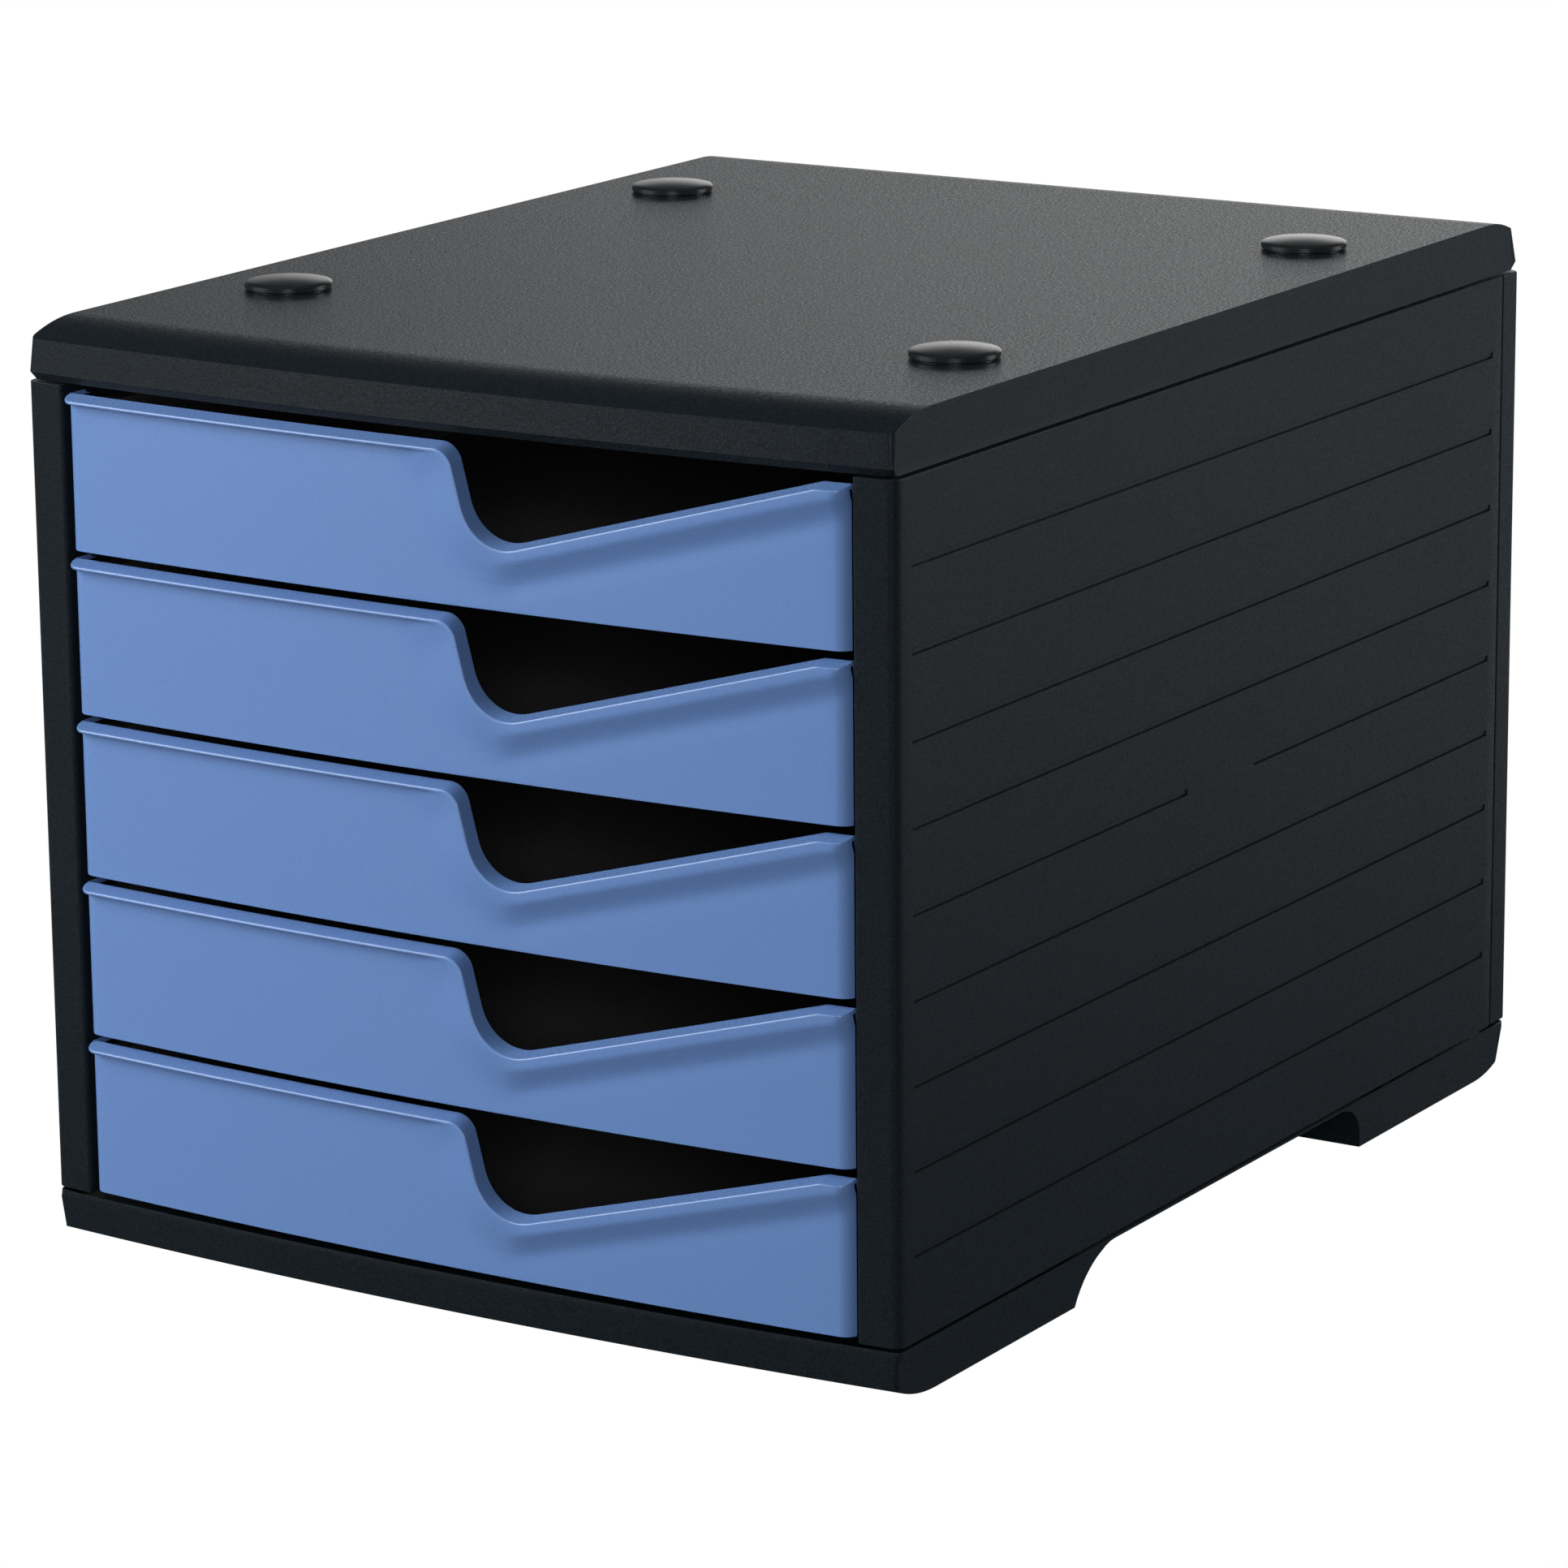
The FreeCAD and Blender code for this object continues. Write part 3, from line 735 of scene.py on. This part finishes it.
    def sink_socket(self, middle: Vector) -> None:
        """Sinks the round socket for the stacking button of a box below into a foot.

        Args:
            middle: The socket's middle, on the sole.
        """
        def sole(reach: float) -> list[Face]:
            """The sole's faces that lie near the socket."""
            return self.faces(lambda f: span(f, Z)[0] > self.height - TINY and reach > max(
                abs(c) for c in (f.calc_center_median() - middle).xy))

        for axis in (X, Y):
            places = [middle[axis] - self.socket, middle[axis] + self.socket]
            self.slices(axis, places, sole(self.foot_length))
        for i in range(self.socket_sides):
            turn = 2 * math.pi * i / self.socket_sides
            out = Vector((math.cos(turn), math.sin(turn), 0))
            self.cut(middle + out * self.socket, out, sole(self.socket))
        reach = self.socket / math.cos(math.pi / self.socket_sides) + TINY
        disc = [f for f in sole(self.socket)
                if all((v.co - middle).xy.length < reach for v in f.verts)]
        self.push(disc, -UP * self.socket_depth)

    def build(self, name: str) -> Piece:
        """Builds the moulding.

        Args:
            name: Name of the piece.

        Returns:
            The piece, with its seam at z = 0 and its outer face above.
        """
        case = self.case
        self.push([self.profile()], Vector((2 * case.half_width, 0, 0)), keep=True)
        self.slices(Z, [self.notch_height])
        self.move(self.taper)
        self.ease_edges()
        self.slices(X, case.steps(case.half_width, self.step))
        self.move(self.bend)
        self.hollow()
        if self.feet:
            for x in (-self.socket_x, self.socket_x):
                for y in (case.front_y + self.socket_end, case.rear_y - self.socket_end):
                    self.sink_socket(Vector((x, y, self.height)))
        return self.finish(name)


@dataclass
class Housing:
    """The five mouldings of the housing."""

    case: Case
    panel_wall: float = 3.0 * MM
    front_corner: Round = Round(3.0 * MM, 6)
    rear_corner: Round = Round(2.5 * MM, 6)
    panel_edge: Round = Round(0.5 * MM, 3)
    seam_edge: Round = Round(0.5 * MM, 2)
    post_edge: Round = Round(1.2 * MM, 4)
    post_width: float = 13.0 * MM
    post_depth: float = 16.0 * MM
    back_return: float = 10.8 * MM
    rim_fold: float = 80.0  # degrees that the back's rim is folded by at least
    cover_notch: float = 1.3 * MM
    base_notch: float = 0.35 * MM
    drawer_pitch: float = 47.0 * MM
    drawer_count: int = 5
    bottom_gap: float = 2.1 * MM
    seam_play: float = 0.55 * MM
    foot_play: float = 1.1 * MM
    groove_first: float = 24.7 * MM
    groove_height: float = 1.7 * MM
    groove_depth: float = 0.4 * MM
    groove_edge: Round = Round(0.3 * MM, 2)
    groove_fold: float = 60.0
    slit_height: float = 0.6 * MM
    slit_depth: float = 1.3 * MM
    groove_front: float = 7.5 * MM
    groove_rear: float = 17.6 * MM
    break_front: float = 157.4 * MM
    break_rear: float = 197.2 * MM
    runner_wall: float = 2.0 * MM
    runner_edge: Round = Round(0.5 * MM, 2)
    runner_inner: float = 124.5 * MM
    runner_rear_gap: float = 21.0 * MM
    runner_rest: float = 38.3 * MM
    runner_guide: float = 41.8 * MM

    def cover(self) -> None:
        """The top cover."""
        cap = Cap(self.case, self.case.top_z - self.case.seam_high, self.cover_notch, False)
        made = cap.build("cover")
        made.data.transform(Matrix.Translation(UP * self.case.seam_high))
        settle(made, "top_cover", "housing", Slot.HOUSING)

    def base(self) -> None:
        """The base with its two feet, which is a cap turned upside down."""
        cap = Cap(self.case, self.case.seam_low - self.case.base_z, self.base_notch, True)
        made = cap.build("feet")
        made.data.transform(Matrix.Translation(UP * self.case.seam_low) @ Matrix.Scale(-1, 4, UP))
        made.data.flip_normals()
        settle(made, "base", "housing", Slot.HOUSING)

    def drawer_z(self, number: int) -> float:
        """Bottom of a drawer's front. Drawer 1 is the top one."""
        below = self.drawer_count - number
        return self.case.seam_low + self.bottom_gap + below * self.drawer_pitch

    def raise_plan(self, plan: Sequence[Pair]) -> Moulding:
        """Raises a panel from its plan between the two seams, with a gap at each.

        Args:
            plan: Corners of the plan.

        Returns:
            The panel.
        """
        mould = Moulding()
        low, high = self.case.seam_low + self.foot_play, self.case.seam_high - self.seam_play
        face = mould.outline(Vector((x, y, low)) for x, y in plan)
        mould.push([face], UP * (high - low), keep=True)
        return mould

    def side(self, which: Side) -> None:
        """A side panel with its front post, runners and grooves.

        Args:
            which: Which side.
        """
        case, half = self.case, self.case.half_width
        skin, post = half - self.panel_wall, half - self.post_width
        post_rear = case.front_y + self.post_depth
        post_front = case.bend(Vector((post, 0, 0))).y
        rear = case.rear_y - self.back_return - self.seam_play
        mould = self.raise_plan([(half, case.front_y), (half, rear), (skin, rear),
                                 (skin, post_rear), (post, post_rear), (post, post_front)])
        for x, y, size in ((half, case.front_y, self.front_corner),
                           (post, post_front, self.post_edge), (half, rear, self.seam_edge)):
            mould.ease(lambda e: lies_at(e, X, x) and lies_at(e, Y, y), size)
        outside = half - self.front_corner.radius - TINY
        mould.ease(lambda e: length_along(e, Z) < TINY and (
            span(e, X)[0] > outside or span(e, Y)[1] < case.front_y + TINY), self.panel_edge)
        self.grooves(mould)
        for number in range(1, self.drawer_count + 1):
            for z in (self.runner_rest - self.runner_wall, self.runner_guide):
                self.runner(mould, self.drawer_z(number) + z)
        if which is Side.LEFT:
            bmesh.ops.scale(mould.bm, vec=(-1, 1, 1), verts=mould.bm.verts)
            bmesh.ops.reverse_faces(mould.bm, faces=mould.bm.faces)
        piece = mould.finish("side_" + which.word)
        settle(piece, "side_panel_" + which.word, "housing", Slot.HOUSING)

    def runner(self, mould: Moulding, z: float) -> None:
        """Adds one runner bar inside a side panel.

        Args:
            mould: The side panel.
            z: Bottom of the bar.
        """
        skin = self.case.half_width - self.panel_wall
        y0, y1 = self.case.front_y + self.post_depth, self.case.rear_y - self.runner_rear_gap
        size = Vector((skin - self.runner_inner, y1 - y0, self.runner_wall))
        middle = Vector((skin + self.runner_inner, y0 + y1, 2 * z + self.runner_wall)) / 2
        matrix = Matrix.Translation(middle) @ Matrix.Diagonal((*size, 1))
        made = bmesh.ops.create_cube(mould.bm, size=1.0, matrix=matrix)["verts"]
        edges = {e for v in made for e in v.link_edges}
        mould.ease(lambda e: e in edges and span(e, X)[1] < middle.x, self.runner_edge)

    def grooves(self, mould: Moulding) -> None:
        """Sinks the grooves into the outer face of a right side panel, the middle one broken.

        Args:
            mould: The side panel.
        """
        case, half = self.case, self.case.half_width
        start, end = case.front_y + self.groove_front, case.rear_y - self.groove_rear
        stop, restart = case.front_y + self.break_front, case.front_y + self.break_rear
        lines = 2 * self.drawer_count - 1
        first = case.seam_low + self.groove_first
        levels = [first + self.drawer_pitch / 2 * i for i in range(lines)]

        def outer() -> list[Face]:
            """The faces of the outer face."""
            return mould.faces(lambda f: lies_at(f, X, half))

        steps = (0.0, self.slit_height, self.groove_height)
        mould.slices(Z, [z + step for z in levels for step in steps], outer())
        hooks = [end - self.slit_height, end, stop - self.slit_height, stop]
        mould.slices(Y, [start] + hooks + [restart], outer())
        recess, slit = [], []
        for f in outer():
            c = f.calc_center_median()
            for i, z in enumerate(levels):
                stretches = [(start, stop), (restart, end)] if i == lines // 2 else [(start, end)]
                for y0, y1 in stretches:
                    if z < c.z < z + self.groove_height and y0 < c.y < y1:
                        recess.append(f)
                        if c.z < z + self.slit_height or c.y > y1 - self.slit_height:
                            slit.append(c.yz)
        moved = mould.push(recess, Vector((-self.groove_depth, 0, 0)))
        deeper = [f for f in moved
                  if any((f.calc_center_median().yz - place).length < TINY for place in slit)]
        mould.push(deeper, Vector((self.groove_depth - self.slit_depth, 0, 0)))
        mould.ease(lambda e: lies_at(e, X, half)
                   and e.calc_face_angle(0.0) > math.radians(self.groove_fold)
                   and any(lies_at(e, Z, z + self.groove_height) for z in levels), self.groove_edge)

    def back(self) -> None:
        """The back panel with its returns."""
        half, wall, rear = self.case.half_width, self.panel_wall, self.case.rear_y
        start = rear - self.back_return
        mould = self.raise_plan([
            (half, start), (half, rear), (-half, rear), (-half, start), (wall - half, start),
            (wall - half, rear - wall), (half - wall, rear - wall), (half - wall, start)])
        for y, size in ((rear, self.rear_corner), (start, self.seam_edge)):
            mould.ease(lambda e: lies_at(e, Y, y)
                       and (lies_at(e, X, half) or lies_at(e, X, -half)), size)
        mould.ease(lambda e: length_along(e, Z) < TINY and span(e, Y)[1] > start + TINY
                   and e.calc_face_angle(0.0) > math.radians(self.rim_fold)
                   and all(abs(v.co.x) > half - wall + TINY or v.co.y > rear - wall + TINY
                           for v in e.verts), self.panel_edge)
        settle(mould.finish("back"), "back_panel", "housing", Slot.HOUSING)

    def build(self) -> None:
        """Builds the mouldings in order."""
        self.cover()
        self.base()
        for which in (Side.RIGHT, Side.LEFT):
            self.side(which)
        self.back()


@dataclass
class StackingButton(Moulding):
    """A domed button on the cover, as a turned profile in the place of its CAD node."""

    node: str
    rim: float = 1.9 * MM
    dome: float = 1.3 * MM
    dome_steps: int = 8
    foot: float = 0.3 * MM
    step: float = 0.9 * MM
    edge: float = 0.35 * MM
    around: int = 64

    def build(self) -> None:
        """Turns the button's outline, from the middle of its foot to its top, about its axis."""
        low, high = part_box(self.node)
        middle, radius = (low + high) / 2, (high.x - low.x) / 2
        rim_top = high.z - self.dome
        rim_low = rim_top - self.rim
        neck, curve = radius - self.step, circle_radius(radius, self.dome)
        points = [(0.0, rim_low - self.foot), (neck, rim_low - self.foot), (neck, rim_low),
                  (radius - self.edge, rim_low), (radius, rim_low + self.edge),
                  (radius, rim_top - self.edge)]
        for i in range(self.dome_steps + 1):
            turn = math.asin(radius / curve) * (1 - i / self.dome_steps)
            reach = curve * math.sin(turn) if i else radius - self.edge
            points.append((reach, high.z - curve * (1 - math.cos(turn))))
        verts = [self.bm.verts.new(Vector((middle.x + r, middle.y, z))) for r, z in points]
        edges = [self.bm.edges.new(pair) for pair in zip(verts, verts[1:])]
        bmesh.ops.spin(self.bm, geom=verts + edges, cent=(middle.x, middle.y, 0), axis=UP,
                       angle=2 * math.pi, steps=self.around, use_merge=True)
        bmesh.ops.remove_doubles(self.bm, verts=self.bm.verts, dist=TINY)
        self.outwards()
        settle(self.finish(self.node.replace("stacking_", "")), self.node, "housing", Slot.BUTTON)


# ---- Drawers ----


@dataclass
class DrawerFront(Moulding):
    """A bowed drawer front, whose top edge rolls forward into a lip and whose face swells to it.

    The lip follows the top edge and the finger cut-out. Under its flat part the face stands back.
    Beside the cut-out's steep side the face swells out to the lip, and under the long slope it
    rolls back from the lip into a hollow for the finger tips.
    """

    case: Case
    number: int
    wall: float = 2.5 * MM
    sill: float = 1.6 * MM
    depth: float = 9.0 * MM
    corner: float = 4.0 * MM
    corner_turns: tuple[float, ...] = (0, 18, 36, 52, 66, 78, 86)
    reach: float = 2.6 * MM
    edge: Round = Round(0.5 * MM, 4)
    low_edge: Round = Round(0.3 * MM, 2)
    tilt: float = 1.2 * MM
    tilt_fade: float = 5.0 * MM
    cut_start: float = 7.1 * MM
    cut_run: float = 7.6 * MM
    valley_z: float = 15.4 * MM
    end_gap: float = 8.0 * MM
    shoulder_round: Round = Round(6.0 * MM, 10)
    valley_round: Round = Round(14.0 * MM, 16)
    end_round: Round = Round(4.0 * MM, 4)
    swell: float = 15.0 * MM
    roll: Pair = (2.7 * MM, 11.4 * MM)  # from the slope to where the face leaves the lip's plane
    roll_start: Pair = (1.0 * MM, 11.0 * MM)  # along the slope, where the roll takes over
    roll_cuts: int = 13
    roll_first: float = 2.65 * MM
    roll_step: float = 1.15 * MM
    hollow: float = 0.12 * MM
    hollow_below: float = 10.5 * MM
    hollow_reach: float = 6.5 * MM
    hollow_end: Pair = (7.5 * MM, 2.5 * MM)
    step: float = 3.0 * MM
    nose: tuple[Pair, ...] = ((0.65 * MM, 0.0), (0.9 * MM, 0.12 * MM), (1.05 * MM, 0.4 * MM))
    nose_end: float = 1.25 * MM

    def __post_init__(self) -> None:
        """Reads the front's size and place from its node."""
        low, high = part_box(f"drawer_front_{self.number}")
        self.half = high.x
        self.bottom = low.z
        self.height = high.z - low.z
        self.valley = Vector((self.cut_start + self.cut_run, 0, self.valley_z))
        self.slope_end = Vector((self.half - self.end_gap, 0, self.height))
        self.steep_end = Vector((self.cut_start, 0, self.height))
        self.along = (self.slope_end - self.valley).normalized()
        self.down = Vector((self.along.z, 0, -self.along.x))

    def sheet(self) -> tuple[Face, list[Vector]]:
        """The front's outline with its finger cut-out, which runs past its sides and bottom.

        Returns:
            The face, in the plane y = 0, and the points of its top edge in order.
        """
        top, margin = self.height, self.corner
        wide = self.half + margin
        self.outline([Vector((-wide, 0, -margin)), Vector((wide, 0, -margin)),
                      Vector((wide, 0, top)), self.slope_end, self.valley, self.steep_end,
                      Vector((-wide, 0, top))])
        self.round_off(self.steep_end, self.shoulder_round)
        self.round_off(self.valley, self.valley_round)
        self.round_off(self.slope_end, self.end_round)
        face = self.bm.faces[:][0]
        ring = [v.co.copy() for v in face.verts]
        first = next(i for i, co in enumerate(ring) if co.z < 0 and ring[i - 1].z < 0)
        return face, ring[first + 1:] + ring[:first - 1] if first else ring[1:-1]

    @staticmethod
    def distance(co: Vector, line: Sequence[Vector]) -> float:
        """How far a point of the sheet lies from a line of points.

        Args:
            co: The point.
            line: The points of the line.

        Returns:
            The distance in the XZ plane.
        """
        place = Vector((co.x, 0, co.z))
        best = math.inf
        for a, b in zip(line, line[1:]):
            side = b - a
            share = min(1.0, max(0.0, (place - a).dot(side) / side.length_squared))
            best = min(best, (place - a - side * share).length)
        return best

    def face_y(self, co: Vector, cut_line: Sequence[Vector]) -> float:
        """Where the face lies in front of or behind its plane.

        Args:
            co: A point of the front, before it is bent.
            cut_line: The steep side and the valley of the cut-out.

        Returns:
            Negative where the face swells out and positive in the hollow.
        """
        beside = -self.reach * (1 - ease_share(self.distance(co, cut_line) / self.swell))
        from_valley = Vector((co.x, 0, co.z)) - self.valley
        below, along = from_valley.dot(self.down), from_valley.dot(self.along)
        low, high = self.roll
        under = -self.reach * (1 - ease_share((below - low) / (high - low)))
        hollow = ease_share(1 - abs(below - self.hollow_below) / self.hollow_reach)
        end_gap, end_fade = self.hollow_end
        past = along - (self.slope_end - self.valley).length + end_gap
        hollow *= 1 - ease_share((past - end_fade) / end_fade)
        start, full = self.roll_start
        share = ease_share((along - start) / (full - start))
        return beside * (1 - share) + (under + self.hollow * hollow) * share

    def shape(self, top_edge: Sequence[Vector]) -> None:
        """Moves the skin from the lip's plane to the lip, the swell, the hollow and the corners.

        Args:
            top_edge: The points of the front's top edge.
        """
        before = self.cut_start - self.shoulder_round.radius
        after = self.valley.x + self.valley_round.radius
        cut_line = [co for co in top_edge if before < co.x < after and co.z < self.height - TINY]
        nose_steps = ((0.0, 0.0),) + self.nose
        for v in self.bm.verts:
            if v.co.y > -self.reach + self.edge.radius + TINY:
                continue
            depth = self.distance(v.co, top_edge)
            back = self.reach + self.face_y(v.co, cut_line)
            if depth <= self.nose_end - TINY:
                back *= max(fall for start, fall in nose_steps if depth > start - TINY) / self.reach
            past = max(0.0, abs(v.co.x) - self.half + self.corner)
            turn = self.corner - math.sqrt(max(0.0, self.corner ** 2 - past ** 2))
            forward = (self.wall + self.reach - turn) / (self.wall + self.reach)
            fade = ease_share((depth - self.nose_end) / self.tilt_fade)
            v.co.z -= self.tilt * forward * (1 - fade)
            v.co.y += back + turn

    def grid(self) -> None:
        """Cuts the skin finely enough for its swell, its hollow and its rounded corners."""

        def skin(wanted: Callable[[Vector], bool]) -> list[Face]:
            """The faces of the skin whose middle is wanted."""
            return self.faces(lambda f: span(f, Y)[1] < -self.reach + TINY
                              and wanted(f.calc_center_median()))

        turns = [math.radians(a) for a in self.corner_turns]
        rounds = [self.half - self.corner * (1 - math.sin(a)) for a in turns]
        flat = self.case.steps(self.half - self.corner, self.step)
        self.slices(X, sorted(flat + rounds + [-x for x in rounds]))
        for i in range(self.roll_cuts):
            place = self.valley + self.down * (self.roll_first + self.roll_step * i)
            self.cut(place, self.down, skin(lambda c: c.x > self.valley.x - 2 * self.step))
        for i in range(int(self.height / self.step)):
            self.cut(UP * (i + 0.5) * self.step, UP,
                     skin(lambda c: -self.swell < c.x < self.valley.x + self.swell))

    def solid(self) -> list[Vector]:
        """Makes the flat sheet with its rings for the lip, trims it and gives it its walls.

        Returns:
            The points of its top edge.
        """
        face, top_edge = self.sheet()
        reached = 0.0
        for depth in [start for start, _ in self.nose] + [self.nose_end]:
            self.inset([face], depth - reached, boundary=True)
            reached = depth
        for side in Side:
            out = Vector((side.value, 0, 0))
            self.cut(out * self.half, out, clear=True)
        self.cut(Vector(), -UP, clear=True)
        bmesh.ops.translate(self.bm, verts=self.bm.verts, vec=(0, -self.reach, 0))
        back = self.push(self.bm.faces[:], Vector((0, self.reach + self.wall, 0)), keep=True)
        self.inset(bmesh.ops.dissolve_faces(self.bm, faces=back)["region"], self.wall)
        for v in self.bm.verts:
            if v.co.y > self.wall - TINY and abs(v.co.z - self.wall) < TINY:
                v.co.z = self.sill
        returns = self.faces(lambda f: span(f, Y)[0] > self.wall - TINY
                             and (abs(f.calc_center_median().x) > self.half - self.wall
                                  or f.calc_center_median().z < self.sill))
        self.push(returns, Vector((0, self.depth - self.wall, 0)))
        self.outwards()
        return top_edge

    def build(self) -> None:
        """Builds the front with its side returns and sill, and hangs it on its drawer."""
        top_edge = self.solid()
        self.ease(lambda e: span(e, Y)[1] < -self.reach + TINY
                  and all(self.distance(v.co, top_edge) < TINY for v in e.verts), self.edge)
        self.ease(lambda e: span(e, Y)[1] < -self.reach + TINY and span(e, Z)[1] < TINY,
                  self.low_edge)
        self.grid()
        self.shape(top_edge)
        self.move(lambda co: self.case.bend(co) + UP * self.bottom)
        made = self.finish(f"drawer_face_{self.number}")
        settle(made, f"drawer_front_{self.number}", f"drawer_{self.number}", Slot.FRONT)


# ---- Setting ----


@dataclass(frozen=True)
class Lamp:
    """A square softbox: where it hangs, its side and how bright its face is."""

    name: str
    place: tuple[float, float, float]
    size: float
    radiance: float

    def build(self, aim: Vector) -> None:
        """Hangs the lamp.

        Args:
            aim: What it points at.
        """
        data = bpy.data.lights.new(self.name, "AREA")
        data.shape = "SQUARE"
        data.size = self.size
        data.energy = self.radiance * math.pi * self.size ** 2
        made = link(self.name, data)
        made.location = self.place
        made.rotation_euler = (aim - Vector(self.place)).to_track_quat("-Z", "Y").to_euler()


@dataclass
class Studio:
    """Floor, surroundings, soft lamps and camera.

    For every ray but the camera's, the floor's colour is painted light: darker in front of the box
    as painted shade and lighter behind it as a painted pool of light. The surroundings are
    brightest
    at the horizon behind the box: a share says how much of that is left in front, on the left or on
    the right, and a range where it changes. The camera's angles are in degrees, its lens and frame
    in mm.
    """

    floor_size: float = 8.0
    floor_drop: float = 0.2 * MM
    # painted light: the floor's colour from front to back, darker in front as painted shade and
    # lighter behind as a painted pool of light
    floor_painted_light: Pair = (0.13, 0.35)
    floor_painted_light_span: Pair = (-0.1, 0.5)
    zenith: float = 0.05
    horizon: float = 1.5
    front_share: float = 0.06
    left_share: float = 0.1
    right_share: float = 0.12
    height_range: Pair = (0.22, 0.38)
    depth_range: Pair = (-0.2, 0.6)
    left_range: Pair = (-0.72, -0.42)
    right_range: Pair = (-0.3, 0.1)
    lamps: tuple[Lamp, ...] = (
        Lamp("key", (-1.3, -1.1, 1.1), size=1.15, radiance=9.4),
        Lamp("low", (-1.5, -2.4, 0.45), size=1.2, radiance=3.2),
        Lamp("fill", (2.6, -4.2, 1.4), size=1.8, radiance=9.5),
        Lamp("rear", (1.9, 1.6, 1.1), size=1.2, radiance=14.0),
    )
    lamp_aim: tuple[float, float, float] = (0, 0, 0.13)
    camera_place: tuple[float, float, float] = (0.98425, -1.57123, 0.58591)
    camera_turn: float = 32.208
    camera_dip: float = 14.243
    camera_roll: float = -0.538
    focal_length: float = 148.29
    frame_width: float = 36.0
    clip_end: float = 50.0

    def floor(self) -> None:
        """A wide pale floor of paper that is white for the camera; for other rays its colour is
        painted light, darker in front and lighter behind the box.
        """
        mould = Moulding()
        bmesh.ops.create_grid(mould.bm, x_segments=1, y_segments=1, size=self.floor_size / 2,
                              matrix=Matrix.Translation(-UP * self.floor_drop))
        made = mould.finish("floor")
        paper = bpy.data.materials.new("floor_paper")
        graph = Graph(paper)
        # painted light: the floor darkens towards the front and lightens behind the box, a painted
        # pool of light and painted shade
        tone = graph.ramp(graph.place("Object")["Y"], self.floor_painted_light_span, self.floor_painted_light)
        graph.seen_as_white(graph.add("BsdfDiffuse", {"Color": tone}), "Emission", "OutputMaterial")
        made.data.materials.append(paper)

    def world(self) -> None:
        """Surroundings that are dark overhead and brightest behind the box, near the floor."""
        made = bpy.data.worlds.new("studio")
        bpy.context.scene.world = made
        graph = Graph(made)
        axes = graph.place("Generated")
        strength = graph.ramp(axes["Z"], self.height_range, (self.horizon, self.zenith))
        for axis, source, target in (("Y", self.depth_range, (self.front_share, 1.0)),
                                     ("X", self.left_range, (self.left_share, 1.0)),
                                     ("X", self.right_range, (1.0, self.right_share))):
            strength = graph.product(strength, graph.ramp(axes[axis], source, target))
        light = graph.add("Background", {"Color": (1, 1, 1, 1), "Strength": strength})
        graph.seen_as_white(light, "Background", "OutputWorld")

    def camera(self) -> None:
        """The camera at the viewing angle."""
        data = bpy.data.cameras.new("camera")
        data.lens = self.focal_length
        data.sensor_width = self.frame_width
        data.clip_end = self.clip_end
        made = link("camera", data)
        turn = Matrix.Rotation(math.radians(self.camera_turn), 4, "Z")
        dip = Matrix.Rotation(math.radians(90 - self.camera_dip), 4, "X")
        roll = Matrix.Rotation(math.radians(self.camera_roll), 4, "Z")
        made.matrix_world = Matrix.Translation(self.camera_place) @ turn @ dip @ roll
        bpy.context.scene.camera = made

    def build(self) -> None:
        """Sets up the whole studio."""
        bpy.context.scene.view_settings.view_transform = "Standard"
        self.floor()
        self.world()
        for lamp in self.lamps:
            lamp.build(Vector(self.lamp_aim))
        self.camera()


# ---- Everything ----


def main(frame: dict) -> None:
    """Builds every piece in order.
    """
    logging.basicConfig(level=logging.INFO, format="%(name)s: %(message)s")
    Studio().build()
    case = Case.from_frame()
    LOG.info("case %s", case)
    Housing(case).build()
    for name in sorted(frame["nodes"]):
        if name.startswith("stacking_button"):
            StackingButton(name).build()
    for number in range(1, Housing.drawer_count + 1):
        DrawerFront(case, number).build()
    for name, node in frame["nodes"].items():
        if name.startswith("drawer_tray"):
            dress(node, Slot.TRAY)
        elif name.startswith("foot_pad"):
            dress(node, Slot.PAD)


if __name__ == "__main__":
    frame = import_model()
    main(frame)
